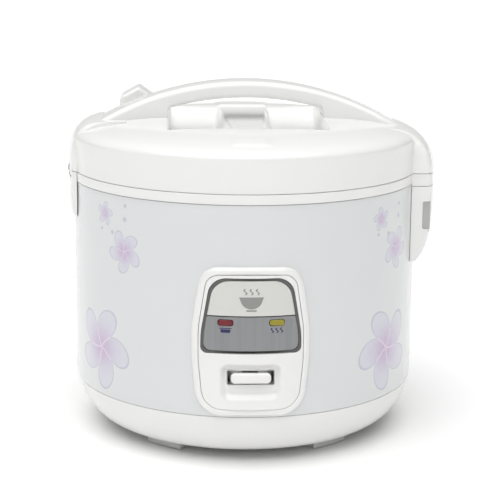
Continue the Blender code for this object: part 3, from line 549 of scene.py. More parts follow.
def make_hinge():
    plans = [(0.35, RING_Z1), (0.0, RING_Z1 - 0.35)] + [(0.0, z) for z in (190, 183, 175)]
    levels = [(lug_plan(-116, HINGE_R - far, HINGE_HALF - far, 6.0), z) for far, z in plans]
    for angle in spread(0, pi / 2, 12)[1:]:     # the lug runs into the body at its foot
        outer = BODY_R + (HINGE_R - BODY_R) * cos(angle)
        half = HINGE_HALF - 1.5 * (1 - cos(angle))
        levels.append((lug_plan(-116, outer, half, 5.9), 175 - 13 * sin(angle)))
    cover = place("hinge_body", stack(levels))
    room = [(lug_plan(-100, HINGE_R - 1.5, 33, 3.0), z) for z in (166, 200)]
    cut(cover, drum(RING_R + GAP, 90, 210), cutter(stack(room)), hinge_groove(5.6))
    settle(cover, "base", WHITE, "hinge_cover")

    top = HINGE_AXIS[1] - 2.2
    sheet = [(RING_R + 0.5, 168), (RING_R + 1.4, 168), (RING_R + 1.4, top), (RING_R + 0.5, top)]
    bracket = place("hinge_plate", turned(sheet))
    knuckles = [hinge_rod(4.0, *ends) for ends in ((-KNUCKLE_END, -ARM_HALF), (ARM_HALF, KNUCKLE_END))]
    carve(bracket, "INTERSECT", block((-150, -KNUCKLE_END, 150), (-60, KNUCKLE_END, 210)))
    cut(bracket, block((-150, -ARM_HALF, 192.3), (-60, ARM_HALF, 200)))
    carve(bracket, "UNION", *knuckles)
    carve(bracket, "INTERSECT", hinge_reach())
    cut(bracket, hinge_rod(1.7, -30, 30, 32))
    settle(bracket, "base", "steel", "hinge_bracket")


# ---- lid ----
def mirrored(values):
    """Rising values from 0, with their negatives before them."""
    return [-v for v in values[:0:-1]] + list(values)


def pod_share(y):
    return min(max((y - POD_FRONT_Y) / (POD_BACK_Y - POD_FRONT_Y), 0.0), 1.0)


def pod_half(y):
    return POD_FRONT_HALF + (POD_BACK_HALF - POD_FRONT_HALF) * pod_share(y)


def lid_height(x, y):
    """The deck with its hand well and the bridge across the middle."""
    deck = deck_z(hypot(x, y))
    inside = 1 - smooth(abs(x), WELL_HALF_X - 1.3, WELL_HALF_X + 1.0)
    across = abs(y - WELL_Y)
    if across < WELL_HALF_Y:
        scoop = CREST_Z - WELL_DEPTH * sqrt(1 - (across / WELL_HALF_Y) ** 2)
    else:
        scoop = CREST_Z + (across - WELL_HALF_Y) * 3
    well = -soft_max(-deck, -scoop, 1.6)
    top = POD_FRONT_Z + (POD_BACK_Z - POD_FRONT_Z) * pod_share(y)
    half = pod_half(y)
    bridge_z = top - (1 - smooth(-abs(x), -half - 4.5, -half + 6.0)) * 18
    well = soft_max(well, min(bridge_z, deck), 4.0)
    return deck + (well - deck) * inside


def lid_under(x, y):
    """The lid's underside: the deck's, and the tub that holds the hand well."""
    deck = deck_z(hypot(x, y)) - LID_T
    half = WELL_HALF_Y + LID_T
    across = min(abs(y - WELL_Y) / half, 1.0)
    tub = CREST_Z - 3 - (WELL_DEPTH - 0.8) * sqrt(1 - across ** 2)
    inside = 1 - smooth(abs(x), WELL_HALF_X + 2.3, WELL_HALF_X + 8)
    return deck + min(tub - deck, 0.0) * inside


def lid_sheet(bm, height, shoulder):
    """One side of the lid: a grid over the hand well, then rings out to the parting line."""
    # grid lines from the middle out, closer together where the surface bends
    across = mirrored((0, 3.5, 7, 10, 12.5, 14, 15, 15.8, 16.5, 17.1, 17.7, 18.25, 18.8, 19.4, 20, 21, 23,
                       26, 31, 37, 43, 48, 52, 54, 55, 55.6, 56, 56.4, 56.8, 57.2, 57.6, 58, 58.6, 60, 62,
                       65, 68))
    along = mirrored((0, 5, 10, 15, 20, 25, 30, 35, 40, 44, 48, 51, 53.5, 55.5, 57.2, 58.6, 59.8, 60.8, 61.6,
                      62.3, 62.9, 63.4, 63.8, 64.2, 64.7, 65.4, 66.4, 68, 71))
    middle = (POD_FRONT_HALF + POD_BACK_HALF) / 2
    fixed = 37                    # grid lines nearer the middle than this follow the pod's sides
    grid = []
    for y in (WELL_Y + v for v in along):
        row = []
        half = pod_half(y)
        for u in across:
            x = abs(u)
            if x <= middle:
                x = x * half / middle
            elif x < fixed:
                x = half + (x - middle) * (fixed - half) / (fixed - middle)
            x = copysign(x, u)
            row.append(bm.verts.new((x, y, height(x, y))))
        grid.append(row)
    for a, b in zip(grid, grid[1:]):
        bridge(bm, a, b, closed=False)
    ring = grid[0][:-1] + [row[-1] for row in grid[:-1]]
    ring += grid[-1][:0:-1] + [row[0] for row in grid[:0:-1]]
    rim = [Vector((v.co.x, v.co.y)) for v in ring]
    lines = []
    for share in (0.1, 0.25, 0.45, 0.65, 0.82, 0.93, 1.0):
        flat = [point.lerp(point.normalized() * (DECK_R - 1.5), share) for point in rim]
        lines.append([(*point, height(*point)) for point in flat])
    lines += [[(*point.normalized() * radius, z) for point in rim] for radius, z in shoulder]
    for line in lines:
        fresh = [bm.verts.new(point) for point in line]
        bridge(bm, ring, fresh)
        ring = fresh
    return ring


def make_lid_cover():
    bm = bmesh.new()
    outer = lid_sheet(bm, lid_height, shoulder_line(0))
    bridge(bm, outer, lid_sheet(bm, lid_under, shoulder_line(LID_T)))
    lid = place("lid_top", bm)
    cut(lid, hinge_groove(5.0), arm_slot(), cutter(rod("Z", VENT, 9.0, 215, 250, 48)))
    settle(lid, "lid", WHITE, "lid_cover")


def lid_lug(name, inner, outer, half, rise, power):
    """A lug of the lid, which leans in towards the deck as it rises."""
    levels = [(lug_plan(copysign(88, inner), outer - 0.45, half - 0.45, 6.0), LID_Z0)]
    for reach, z in superellipse(abs(inner), LID_Z0 + 0.5, outer - abs(inner), rise - 0.5, power, 40)[:-1]:
        ease_in = smooth(z, LID_Z0 + 8, LID_Z0 + rise)
        levels.append((lug_plan(copysign(88, inner), reach, half - 4 * ease_in, 6.0), z))
    return place(name, stack(levels))


def lid_hollow():
    """The room inside the lid, up to the underside of its shoulder."""
    wall = RING_R - LID_T
    return cutter(turned([(0, 180), (wall, 180), (wall, 210), (121, 221), (0, 221)]))


def make_lid_lugs():
    lug = lid_lug("lid_latch_lug", 108.5, LATCH_R, LATCH_HALF, 32.7, 2.1)
    cut(lug, lid_hollow(), block((134.5, -8.5, 190), (137.5, 8.5, 205.5)))
    settle(lug, "lid", WHITE)

    barrel_end = GROOVE_END - 0.2
    barrels = [hinge_rod(3.9, low, high, 32)
               for low, high in ((-barrel_end, -BARREL_START), (BARREL_START, barrel_end))]
    for barrel in barrels:
        carve(barrel, "INTERSECT", hinge_reach())
    lug = lid_lug("lid_hinge_lug", -104.5, HINGE_R, HINGE_HALF, 36.0, 2.9)
    carve(lug, "UNION", *barrels)
    cut(lug, lid_hollow(), hinge_rod(5.0, -BARREL_START, BARREL_START), arm_slot())
    settle(lug, "lid", WHITE)


def make_handle():
    """A bar bent along an arc; past the hand well it stands on the deck and widens."""
    bend = 3.0                    # over which the bar's underside turns down into its foot
    foot_end = HANDLE_FOOT_X + bend
    places = spread(0, HANDLE_FOOT_X, 30)[:-1]
    places += [HANDLE_FOOT_X + bend * sin(a) for a in spread(0, pi / 2, 10)]
    places = mirrored(places + spread(foot_end, 117, 32)[1:])
    rings = []
    for x in places:
        high = HANDLE_CENTRE_Z + sqrt(HANDLE_R_OUT ** 2 - x * x)
        low = HANDLE_CENTRE_Z + sqrt(HANDLE_R_IN ** 2 - x * x)
        foot = min(deck_z(abs(x)) - 4, low - 4)
        turn = min(max((abs(x) - HANDLE_FOOT_X) / bend, 0.0), 1.0)
        low += (foot - low) * (1 - sqrt(1 - turn * turn))
        half = HANDLE_HALF * (1 + 0.45 * smooth(abs(x), 62, 110))
        rings.append([(x, y, z) for y, z in rectangle(-half, low, half, high, (3.2, 3.2, 4.6, 4.6), 8)])
    settle(place("handle_bar", loft(rings)), "lid", WHITE, "handle_upper", "handle_lower")

def make_lid_inside():
    step = 112.4
    outline = rounded([(0, 203), (step, 203, 1), (step, 197, 1), (122.4, 197, 0.5), (122.4, 199.2, 0.5),
                        (step + 2.2, 199.2, 1), (step + 2.2, 205.5, 1), (0, 205.5)])
    liner = place("liner", turned(outline))
    cut(liner, cutter(rod("Z", VENT, 6.0, 190, 215)))
    settle(liner, "lid", WHITE, "lid_liner")

    outline = rounded([(3.2, 199.5), (52, 199.5, 2), (54, 198.6, 2), (60, 198.6, 2), (62, 199.5, 2),
                        (97.6, 199.5, 4), (105, 196.4, 0.3), (105, 197.6, 0.3), (98, 200.7, 4), (3.2, 200.7)])
    plate = place("steam_plate", turned(outline))
    holes = [cutter(rod("Z", VENT, 6.0, 190, 215))]
    for number in range(8):
        angle = 2 * pi * (number + 0.5) / 8
        holes.append(cutter(rod("Z", (80 * cos(angle), 80 * sin(angle)), 1.6, 190, 203, 20)))
    cut(plate, *holes)
    settle(plate, "lid", "aluminium", "inner_lid_plate", material="turned_aluminium")

    gasket = rounded([(105.4, 196.7), (118.5, 196.7, 0.4), (118.5, 195, 1.2), (116, 193.4, 1.4),
                       (112, 193.4, 1.4), (110, 195, 1.5), (105.4, 195, 0.6)])
    settle(place("seal", turned(gasket)), "lid", "silicone", "lid_gasket")
    stud = rounded([(0, 195.5), (4.5, 195.5, 1), (4.5, 199.2, 0.4), (2.8, 199.2), (2.8, 202.7), (0, 202.7)])
    settle(place("stud", turned(stud, 48)), "lid", "steel", "lid_stud")


def make_steam_cap():
    x, y = VENT
    roof = rounded([(-95.2, 222), (-95.2, 243.5, 6), (-80.6, 251.3, 3.0), (-60, 237, 3.0), (-58, 222)], 8)
    cap = place("steam_cap", prism(roof, "Y", y - 15, y + 15, 2.7, 2.7, 6))
    under = [(0, 200), (0, CREST_Z + GAP)]
    under += [(r, deck_z(r) + GAP) for r in (40, 60, 75, 85, 95, 105, 112, 117)] + [(117, 200)]
    outlet = rectangle(x - 3.5, 234.8, x + 3.5, 237.2, 1)
    cut(cap, cutter(turned(under)))
    carve(cap, "UNION", cutter(rod("Z", VENT, 6.6, 224, 240, 48, 0.5)))
    cut(cap, drum(4.6, 220, 243, 48, VENT), pushed(outlet, "Y", y, y + 20))
    settle(cap, "steam_cap", WHITE, "steam_vent_cap")
    tube = rectangle(7.0, 205.8, 8.6, 231.0, (0, 0, 0.6, 0.6))
    settle(place("vent_tube", turned(tube, 64, VENT)), "lid", WHITE, "steam_vent_tube")


def make_pot():
    bend = 18.0
    outer = [(0, POT_Z0)] + arc(POT_R - bend, POT_Z0 + bend, bend, bend, -90, 0, 16)
    outer += [(POT_R, z) for z in (90, 120, 150, 180)]
    outer += [(POT_R, 189.4), (POT_R + 0.6, 190.6), (117.2, 191.0)]
    outer += arc(117.1, 191.9, 0.9, 0.9, -90, 90, 6)
    inside = POT_R - POT_T
    inner = [(inside + 1.5, POT_Z1), (inside + 0.4, POT_Z1 - 0.5), (inside, POT_Z1 - 1.6)]
    inner += [(inside, z) for z in (180, 150, 120, 90)]
    inner += arc(POT_R - bend, POT_Z0 + bend, bend - POT_T, bend - POT_T, 0, -90, 16)
    inner += [(0, POT_Z0 + POT_T)]
    settle(place("cooking_pot", turned(outer + inner)), "inner_pot", "aluminium", "inner_pot",
           material="pot_metal")


# ---- control panel ----
def panel_loop(name, levels):
    """A closed frame from outlines and depths: [(outline, recess or None for the body's radius)]."""
    bm = bmesh.new()
    rings = []
    for outline, recess in levels:
        ring = [(x, wall_y(x) if recess is None else panel_y(x, recess), z) for x, z in outline]
        rings.append([bm.verts.new(point) for point in ring])
    for a, b in zip(rings, rings[1:] + rings[:1]):
        bridge(bm, a, b)
    return place(name, bm)


def panel_slab(name, outline, recess, back, dip=None):
    """A plate behind the panel's curved front, cut to an outline; dip(x, z) presses its front in."""
    xs = spread(-42, 42, 120)
    zs = spread(38, 150, 160 if dip else 1)
    bm = bmesh.new()
    front = [[bm.verts.new((x, panel_y(x, recess + (dip(x, z) if dip else 0)), z)) for x in xs] for z in zs]
    rear = [[bm.verts.new((x, panel_y(x, back), z)) for x in xs] for z in (zs[0], zs[-1])]
    rows = [rear[0]] + front + [rear[1]]
    for a, b in zip(rows, rows[1:] + rows[:1]):
        bridge(bm, a, b, closed=False)
    for side in (0, -1):
        bm.faces.new([row[side] for row in front] + [rear[1][side], rear[0][side]])
    slab = place(name, bm)
    carve(slab, "INTERSECT", pushed(outline, "Y", -145, -100))
    return slab

DISH_Z = 67.2


def dish(x, z):
    """How far the plate is pressed in round the lever."""
    dx = max(abs(x) - 14.5, 0.0) / 7.5
    dz = max(abs(z - DISH_Z) - 6.5, 0.0) / (5.5 if z > DISH_Z else 9.0)
    return 3.6 * (1 - smooth(hypot(dx, dz), 0.35, 1.0))


def make_panel():
    roll = 3.2                    # radius of the bezel's outer edge
    levels = [(panel_outline(0), None), (panel_outline(0), roll + 0.2)]
    for a in spread(0, pi / 2, 8)[1:]:
        levels.append((panel_outline(roll * (1 - cos(a))), roll * (1 - sin(a))))
    levels += [(panel_outline(4.2), 0.05), (panel_outline(4.7), 0.25), (panel_outline(4.9), 0.7),
               (panel_outline(4.9), None)]
    settle(panel_loop("bezel", levels), "base", WHITE, "control_bezel")

    plate = panel_slab("panel_plate", panel_outline(5.2), 0.6, 6.5, dish)
    slot = rectangle(-16.2, 63.2, 16.2, 73.3, 1.0)
    cut(plate, front_cutter(window_outline(0)), front_cutter(slot))
    settle(plate, "base", WHITE, "control_plate")
    inner, outer = inset(slot, 0.05), inset(slot, -0.6)
    # painted shade: the slot's lining is white plastic but gets a grey look, to darken the slot round the
    # lever
    well = panel_loop("lever_slot_shade", [(inner, 3.4), (inner, 11.0), (outer, 11.0), (outer, 3.9)])
    settle(well, "base", WHITE, material="grey_plastic")

    rim = [(window_outline(margin), recess) for margin, recess in
           ((GAP, 5.0), (GAP, 1.1), (0.45, 0.9), (1.6, 0.9), (RIM, 1.1), (RIM, 5.0))]
    settle(panel_loop("window_rim", rim), "base", "dark_trim", "display_frame")

    glass = window_outline(RIM + GAP)
    badge = panel_slab("badge", glass, RECESS["badge_grey"], 5.0)
    lamps = panel_slab("lamp_plate", glass, RECESS["brushed_panel"], 5.0)
    cut(badge, block((-50, -145, 50), (50, -90, SPLIT_Z + 0.4)))
    holes = [front_cutter(lens_outline(x, GAP)) for x in (-LAMP_X, LAMP_X)]
    cut(lamps, block((-50, -145, SPLIT_Z - 0.4), (50, -90, 160)), *holes)
    settle(badge, "base", "badge_grey", "badge_plate")
    settle(lamps, "base", "brushed_panel", "lamp_panel")

    for name, x, slot_name in (("cook", -LAMP_X, "lens_red"), ("warm", LAMP_X, "lens_yellow")):
        lens = place(f"lens_{name}", prism(lens_outline(x, 0), "Y", -131.6, -125.2, 0.7, 0, 5))
        settle(lens, "base", slot_name, f"lamp_lens_{name}")
    make_marks()

    paddle = rectangle(-14, 64.8, 14, 72.2, 3.0, 8)
    lever = place("lever_key", prism(paddle, "Y", -134.0, -130.7, 1.9, 0.3, 6))
    settle(lever, "cook_lever", WHITE, "cook_lever_paddle")


def lens_outline(x, grow):
    half, tall = 5.2 + grow, 2.05 + grow
    return rectangle(x - half, LAMP_Z - tall, x + half, LAMP_Z + tall, 1.9, 8)


def printed(name, outline, ink, ground):
    """A thin mark, just proud of the plate that it is printed on."""
    mark = panel_slab(name, outline, RECESS[ground] - 0.06, RECESS[ground] + 0.2)
    settle(mark, "base", ground, material=ink)


def make_marks():
    """Printed marks: a bowl of rice on the badge, a pot under one lamp and heat waves under the other."""
    bowl = [(-8.6, 126.2)] + arc(0, 125.0, 7.6, 7.2, 190, 350, 20) + [(8.6, 126.2)]
    printed("mark_bowl", bowl, "grey_print", "badge_grey")
    printed("mark_bowl_foot", rectangle(-3.6, 116.2, 3.6, 117.3, 0.4, 3), "grey_print", "badge_grey")
    for number, x in enumerate((-4.2, 0.0, 4.2)):
        printed(f"mark_steam_{number}", wave_outline(x, 127.8, 132.2, 0.55, 0.9), "grey_print", "badge_grey")
    z = 102.6
    pot = rectangle(-LAMP_X - 3.4, z - 1.7, -LAMP_X + 3.4, z + 0.7, (1.0, 1.0, 0.2, 0.2), 4)
    printed("mark_pot", pot, "blue_print", "brushed_panel")
    lid = rectangle(-LAMP_X - 4.3, z + 1.1, -LAMP_X + 4.3, z + 1.75, 0.3, 3)
    printed("mark_pot_lid", lid, "blue_print", "brushed_panel")
    for number, x in enumerate((-3.2, 0.0, 3.2)):
        wave = wave_outline(LAMP_X + x, z - 1.8, z + 1.8, 0.5, 0.7)
        printed(f"mark_heat_{number}", wave, "blue_print", "brushed_panel")


def wave_outline(x, low, high, half, swing):
    """An upright wavy stroke."""
    middle = [(x + swing * sin(2 * pi * share), low + (high - low) * share)
              for share in spread(0, 1, 16)]
    return [(u - half, z) for u, z in middle] + [(u + half, z) for u, z in middle[::-1]]


# ---- materials ----
def feed(tree, socket, value):
    """Links another node's output to a socket, or sets the socket's value."""
    if isinstance(value, bpy.types.NodeSocket):
        tree.links.new(value, socket)
    else:
        socket.default_value = value


def add_node(tree, kind, **inputs):
    """A new shader node; each keyword is an input's name, with _ for a space."""
    node = tree.nodes.new("ShaderNode" + kind)
    for name, value in inputs.items():
        feed(tree, node.inputs[name.replace("_", " ")], value)
    return node


class Look:
    """A material under construction, with short calls for the nodes that these looks share."""

    def __init__(self, name, roughness, metallic=0.0, coat=0.0, coat_roughness=0.05):
        self.material = bpy.data.materials.new(name)
        self.material.use_nodes = True
        self.tree = self.material.node_tree
        self.shader = self.tree.nodes["Principled BSDF"]
        self.surface("Roughness", roughness)
        self.surface("Metallic", metallic)
        self.surface("Coat Weight", coat)
        self.surface("Coat Roughness", coat_roughness)
        self.where = self.add("TexCoord").outputs["Object"]

    def add(self, kind, **inputs):
        return add_node(self.tree, kind, **inputs)

    def surface(self, name, value):
        """Sets or links one input of the surface."""
        feed(self.tree, self.shader.inputs[name], value)

    def math(self, operation, *values):
        node = self.add("Math")
        node.operation = operation
        for socket, value in zip(node.inputs, values):
            feed(self.tree, socket, value)
        return node.outputs[0]

    def times(self, first, *others):
        for other in others:
            first = self.math("MULTIPLY", first, other)
        return first

    def minus(self, a, b):
        return self.math("SUBTRACT", a, b)

    def length(self, a, b):
        return self.math("SQRT", self.math("ADD", self.times(a, a), self.times(b, b)))

    def step(self, value, start, end):
        """0 at start, 1 at end, smooth between; start may be the larger."""
        flip = start > end
        node = self.add("MapRange", Value=value, From_Min=min(start, end), From_Max=max(start, end),
                        To_Min=1.0 if flip else 0.0, To_Max=0.0 if flip else 1.0)
        node.interpolation_type = "SMOOTHSTEP"
        return node.outputs["Result"]

    def span(self, value, low, high):
        """A 0 to 1 value spread from low to high."""
        return self.math("MULTIPLY_ADD", value, high - low, low)

    def split(self):
        return self.add("SeparateXYZ", Vector=self.where).outputs

    def stretched(self, scale):
        return self.add("Mapping", Vector=self.where, Scale=scale).outputs[0]

    def noise(self, scale, detail=3.0, stretch=None):
        source = self.stretched(stretch) if stretch else self.where
        return self.add("TexNoise", Vector=source, Scale=scale, Detail=detail).outputs["Fac"]

    def mix(self, share, a, b):
        node = self.add("Mix")
        node.data_type = "RGBA"
        feed(self.tree, node.inputs["Factor"], share)
        colours = [s for s in node.inputs if s.type == "RGBA"]
        for socket, value in zip(colours, (a, b)):
            feed(self.tree, socket, value if isinstance(value, bpy.types.NodeSocket) else (*value, 1))
        return [s for s in node.outputs if s.type == "RGBA"][0]

    def colour(self, value):
        self.surface("Base Color", value)

    def roughness(self, value):
        self.surface("Roughness", value)

    def bump(self, height, strength, depth_mm):
        node = self.add("Bump", Strength=strength, Distance=depth_mm * MM, Height=height)
        self.surface("Normal", node.outputs["Normal"])


def moulded(name, light, dark, roughness, grain=900.0, depth=0.006, coat=0.0):
    """Moulded plastic: faint flow clouding, a fine grain and uneven gloss."""
    look = Look(name, roughness, coat=coat)
    look.colour(look.mix(look.noise(28.0, 4.0), dark, light))
    look.roughness(look.span(look.noise(60.0), roughness - 0.02, roughness + 0.02))
    look.bump(look.noise(grain, 2.0), 0.08, depth)
    return look.material


def metal(name, light, dark, roughness, stretch):
    """Brushed or drawn metal: streaks along the direction in which stretch is small."""
    look = Look(name, roughness, metallic=1.0)
    streaks = look.noise(1.0, 4.0, stretch)
    look.colour(look.mix(streaks, dark, light))
    look.roughness(look.span(streaks, roughness - 0.08, roughness + 0.08))
    look.bump(streaks, 0.3, 0.01)
    return look.material


def turned_metal(name, light, dark, roughness):
    """Spun sheet: fine rings round the body's axis, or hoops up a wall."""
    look = Look(name, roughness, metallic=1.0)
    x, y, z = look.split()
    along = look.math("ADD", look.length(x, y), z)
    rings = look.add("TexNoise", Scale=1400.0, Detail=3.0)
    rings.noise_dimensions = "1D"
    feed(look.tree, rings.inputs["W"], along)
    look.colour(look.mix(rings.outputs["Fac"], dark, light))
    look.roughness(look.span(rings.outputs["Fac"], roughness - 0.1, roughness + 0.08))
    look.bump(rings.outputs["Fac"], 0.35, 0.02)
    return look.material


def tinted_lens(name, light, dark):
    """A small lamp lens with moulded prisms behind its glossy face."""
    look = Look(name, 0.3, coat=0.1)
    x, _, z = look.split()
    grid = look.times(look.math("SINE", look.times(x, 5200.0)), look.math("SINE", look.times(z, 5200.0)))
    grid = look.span(grid, 0.5, 0.8)
    look.colour(look.mix(grid, dark, light))
    look.surface("Coat Roughness", 0.03)
    look.bump(grid, 0.12, 0.05)
    return look.material


# flowers on the body: angle from the front towards +X (degrees), height, radius, turn (degrees), mirrored
FLOWERS = (
    (-55.4, 75.1, 31.0, 58.0, False), (51.2, 75.4, 31.0, 58.0, True),
    (-43.2, 149.5, 15.5, 40.0, False), (55.8, 148.0, 15.5, 40.0, True),
    (-52.3, 174.4, 8.5, 75.0, False), (46.6, 171.8, 8.5, 75.0, True),
)
# small buds: angle, height, radius
BUDS = ((-42.6, 182.5, 1.8), (-42.8, 172.8, 2.2), (-54.1, 163.2, 1.6), (-48.6, 162.0, 2.0),
        (57.2, 171.0, 2.2), (57.3, 179.7, 1.8), (45.3, 161.0, 1.6), (50.8, 160.2, 2.0))
SHELL_LIGHT, SHELL_DARK = (0.700, 0.709, 0.716), (0.690, 0.699, 0.707)
PETAL_HEART, PETAL_TIP = (0.480, 0.300, 0.550), (0.520, 0.500, 0.690)
PETAL_LINE, PETAL_VEIN = (0.400, 0.400, 0.520), (0.740, 0.650, 0.740)


def about(look, angle, height, at, z, radius):
    """Where a point lies about a print's middle (at degrees, height z), as shares of the print's radius."""
    return (look.times(look.minus(angle, radians(at)), BODY_R / radius),
            look.times(look.minus(height, z * MM), 1 / (radius * MM)))


def flower_nodes(look, angle, height, flower):
    """Four masks of one five-petal flower: petal, heart, edge line and pale vein."""
    at, z, radius, turn, mirrored = flower
    u, v = about(look, angle, height, at, z, radius)
    if mirrored:
        u = look.times(u, -1.0)
    far = look.length(u, v)
    turned_by = look.minus(look.math("ARCTAN2", v, u), radians(turn))
    curl, petals = 0.42, 5 / (2 * pi)
    swirl = look.math("MULTIPLY_ADD", far, curl, turned_by)
    petal = look.math("FRACT", look.math("MULTIPLY_ADD", swirl, petals, 5.45 - curl * petals))
    off = look.math("ABSOLUTE", look.math("MULTIPLY_ADD", petal, 2.0, -1.0))
    edge = look.math("MULTIPLY_ADD", look.math("POWER", off, 1.9), -0.52, 1.0)
    inside = look.minus(edge, far)
    soft = 0.03 + 0.35 / radius
    mask = look.step(inside, -soft, soft)
    line = look.step(look.math("ABSOLUTE", inside), 0.03 + 0.3 / radius, 0.01)
    heart = look.step(far, 0.85, 0.05)
    seam = look.times(far, look.minus(1.0, off))
    vein = look.times(look.step(seam, 0.05, 0.012), look.step(far, 0.62, 0.4))
    return [mask, look.times(heart, mask), line, look.times(vein, mask)]


def painted_shell():
    look = Look("painted_shell", 0.26, coat=0.6, coat_roughness=0.08)
    x, y, z = look.split()
    angle = look.math("ARCTAN2", x, look.times(y, -1.0))
    masks = [flower_nodes(look, angle, z, flower) for flower in FLOWERS]
    total = masks[0]
    for more in masks[1:]:
        total = [look.math("MAXIMUM", a, b) for a, b in zip(total, more)]
    petal, heart, line, vein = total
    ground = look.mix(look.noise(20.0, 3.0), SHELL_DARK, SHELL_LIGHT)
    tint = look.mix(heart, PETAL_TIP, PETAL_HEART)
    cloud = look.span(look.noise(260.0, 3.0), 0.55, 0.95)
    painted = look.mix(look.times(petal, cloud, look.span(heart, 0.42, 0.9)), ground, tint)
    painted = look.mix(look.times(vein, 0.75), painted, PETAL_VEIN)
    painted = look.mix(look.times(line, 0.55), painted, PETAL_LINE)
    buds = [look.step(look.length(*about(look, angle, z, *bud)), 1.15, 0.3) for bud in BUDS]
    every = buds[0]
    for bud in buds[1:]:
        every = look.math("MAXIMUM", every, bud)
    look.colour(look.mix(look.times(every, 0.6), painted, PETAL_LINE))
    look.roughness(look.span(look.noise(45.0), 0.22, 0.26))
    look.bump(look.noise(420.0, 2.0), 0.06, 0.008)
    return look.material


def brushed_panel():
    look = Look("brushed_panel", 0.38, metallic=0.55)
    streaks = look.noise(1.0, 3.0, (2600.0, 400.0, 26.0))
    broad = look.noise(1.0, 2.0, (260.0, 60.0, 8.0))
    both = look.math("MULTIPLY_ADD", broad, 0.5, look.times(streaks, 0.5))
    look.colour(look.mix(both, (0.20, 0.205, 0.21), (0.34, 0.345, 0.35)))
    look.roughness(look.span(streaks, 0.30, 0.46))
    look.bump(streaks, 0.3, 0.015)
    return look.material


def circuit_board():
    look = Look("board", 0.4, coat=0.4)
    traces = look.add("TexBrick", Vector=look.stretched((60.0, 60.0, 60.0)), Color1=(0.06, 0.22, 0.10, 1),
                      Color2=(0.08, 0.28, 0.13, 1), Mortar=(0.16, 0.42, 0.20, 1))
    look.colour(traces.outputs["Color"])
    look.bump(look.noise(1500.0), 0.2, 0.02)
    return look.material


# light and dark colour, roughness, then the grain's scale and depth (mm) and the coat where they matter
PLASTICS = {
    "white_plastic": ((0.835, 0.834, 0.822), (0.825, 0.824, 0.812), 0.24, 900.0, 0.006, 0.3),
    "grey_plastic": ((0.50, 0.50, 0.48), (0.44, 0.44, 0.42), 0.42),
    "dark_trim": ((0.115, 0.115, 0.11), (0.085, 0.085, 0.082), 0.34),
    "badge_grey": ((0.665, 0.665, 0.635), (0.640, 0.640, 0.612), 0.38, 1600.0),
    "grey_print": ((0.30, 0.30, 0.29), (0.24, 0.24, 0.23), 0.5, 3000.0, 0.005),
    "blue_print": ((0.020, 0.026, 0.12), (0.012, 0.018, 0.08), 0.5, 3000.0, 0.005),
    "rubber": ((0.76, 0.76, 0.74), (0.70, 0.70, 0.68), 0.72, 1400.0, 0.05),
    "silicone": ((0.82, 0.82, 0.80), (0.76, 0.76, 0.74), 0.58, 700.0, 0.03),
    "black_plastic": ((0.045, 0.045, 0.047), (0.028, 0.028, 0.03), 0.46, 2200.0, 0.04),
    "ceramic": ((0.86, 0.84, 0.79), (0.76, 0.73, 0.68), 0.5, 500.0, 0.05),
    "wire_red": ((0.58, 0.05, 0.04), (0.46, 0.04, 0.03), 0.45),
    "wire_blue": ((0.05, 0.12, 0.52), (0.04, 0.09, 0.40), 0.45),
}
# light and dark colour, roughness, and how dense the streaks are along X, Y and Z
METALS = {
    "aluminium": ((0.78, 0.79, 0.80), (0.64, 0.65, 0.66), 0.38, (900.0, 900.0, 60.0)),
    "steel": ((0.68, 0.68, 0.68), (0.52, 0.52, 0.53), 0.34, (1200.0, 120.0, 1200.0)),
    "brass": ((0.82, 0.66, 0.33), (0.66, 0.50, 0.22), 0.34, (1500.0, 90.0, 1500.0)),
}
TURNED_METALS = {
    "turned_aluminium": ((0.80, 0.81, 0.82), (0.66, 0.67, 0.68), 0.34),
    "pot_metal": ((0.78, 0.78, 0.79), (0.62, 0.62, 0.63), 0.36),
}
LENSES = {
    "lens_red": ((0.19, 0.002, 0.008), (0.12, 0.001, 0.005)),
    "lens_yellow": ((0.34, 0.29, 0.015), (0.25, 0.21, 0.010)),
}


def make_materials():
    found = {"painted_shell": painted_shell(), "brushed_panel": brushed_panel(), "board": circuit_board()}
    for make, table in ((moulded, PLASTICS), (metal, METALS), (turned_metal, TURNED_METALS),
                        (tinted_lens, LENSES)):
        found.update({name: make(name, *values) for name, values in table.items()})
    return found


def dress_frame_nodes():
    """CAD nodes that stay in view take the look of their material slot."""
    slots = {part["node"]: part["material_slot"] for part in frame["record"]["subparts"]}
    for name, node in frame["nodes"].items():
        for holder in node.material_slots:
            holder.link = "OBJECT"
            holder.material = MATERIALS[slots[name]]


# ---- studio ----
def make_camera():
    data = bpy.data.cameras.new("camera")
    camera = linked("camera", data)
    up, round_by = radians(CAMERA_ELEVATION), radians(CAMERA_AZIMUTH)
    aim = Vector((AXIS.x, AXIS.y, AIM_Z * MM))
    back = Vector((sin(round_by) * cos(up), -cos(round_by) * cos(up), sin(up)))
    camera.location = aim + back * CAMERA_DISTANCE * MM
    look = (-back).to_track_quat("-Z", "Y")
    roll = Quaternion((0, 0, 1), radians(CAMERA_ROLL))
    camera.rotation_euler = (look @ roll).to_euler()
    data.sensor_width = 36.0
    data.lens = CAMERA_LENS
    data.shift_x = CAMERA_SHIFT_X
    data.clip_start = 0.05
    data.clip_end = 100
    bpy.context.scene.camera = camera


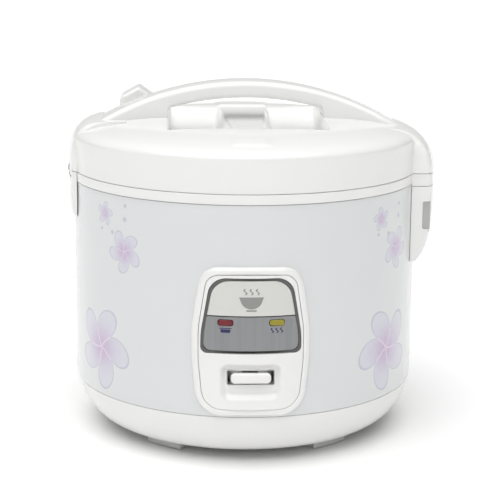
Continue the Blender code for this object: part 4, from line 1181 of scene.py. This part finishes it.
def make_world():
    """A plain white surround, dimmer at the sides."""
    scene = bpy.context.scene
    scene.view_settings.view_transform = "Standard"
    world = bpy.data.worlds.new("studio")
    scene.world = world
    world.use_nodes = True
    tree = world.node_tree
    parts = add_node(tree, "SeparateXYZ", Vector=add_node(tree, "TexCoord").outputs["Generated"])
    side = add_node(tree, "Math", Value=parts.outputs["X"])
    side.operation = "ABSOLUTE"
    ramp = add_node(tree, "MapRange", Value=side.outputs[0], From_Min=0.35, From_Max=1.0, To_Min=1.0,
                    To_Max=WORLD_SIDE)
    ramp.interpolation_type = "SMOOTHSTEP"
    background = tree.nodes["Background"]
    background.inputs["Strength"].default_value = WORLD_STRENGTH
    feed(tree, background.inputs["Color"], ramp.outputs["Result"])


def make_lights():
    """A soft sun overhead and a panel of light at the front left."""
    data = bpy.data.lights.new("overhead", "SUN")
    data.energy = OVERHEAD
    data.angle = radians(70)
    light = linked("overhead", data)
    light.rotation_euler = (radians(14), radians(-6), 0)

    data = bpy.data.lights.new("key", "AREA")
    data.shape = "RECTANGLE"
    data.size, data.size_y = 1.6, 1.2
    data.energy = KEY
    light = linked("key", data)
    light.location = (-0.35, -1.9, 1.5)
    light.rotation_euler = (Vector((0, 0, 0.13)) - light.location).to_track_quat("-Z", "Y").to_euler()


def make_floor():
    bm = bmesh.new()
    bmesh.ops.create_grid(bm, x_segments=8, y_segments=8, size=FLOOR_HALF)
    mesh = bpy.data.meshes.new("floor")
    bm.to_mesh(mesh)
    bm.free()
    floor = linked("floor", mesh)
    floor.location.z = -0.0002
    look = Look("floor", 0.9)
    look.colour(look.mix(look.noise(3.0, 2.0), (0.95, 0.95, 0.947), (0.96, 0.96, 0.957)))
    look.surface("Specular IOR Level", 0.1)
    mesh.materials.append(look.material)


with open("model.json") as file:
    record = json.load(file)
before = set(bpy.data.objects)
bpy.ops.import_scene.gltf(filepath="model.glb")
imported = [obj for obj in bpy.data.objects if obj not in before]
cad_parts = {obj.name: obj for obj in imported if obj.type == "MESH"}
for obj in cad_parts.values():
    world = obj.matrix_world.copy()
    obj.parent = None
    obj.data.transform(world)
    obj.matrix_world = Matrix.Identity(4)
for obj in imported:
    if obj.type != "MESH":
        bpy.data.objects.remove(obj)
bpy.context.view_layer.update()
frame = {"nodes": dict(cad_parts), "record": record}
low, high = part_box("body_shell")
AXIS = Vector(((low[0] + high[0]) / 2, (low[1] + high[1]) / 2, 0))
MATERIALS = make_materials()

dress_frame_nodes()
make_base()
make_inlet()
make_body()
make_ring()
make_latch()
make_hinge()
make_panel()
make_lid_cover()
make_lid_lugs()
make_handle()
make_lid_inside()
make_steam_cap()
make_pot()
make_world()
make_lights()
make_floor()
make_camera()
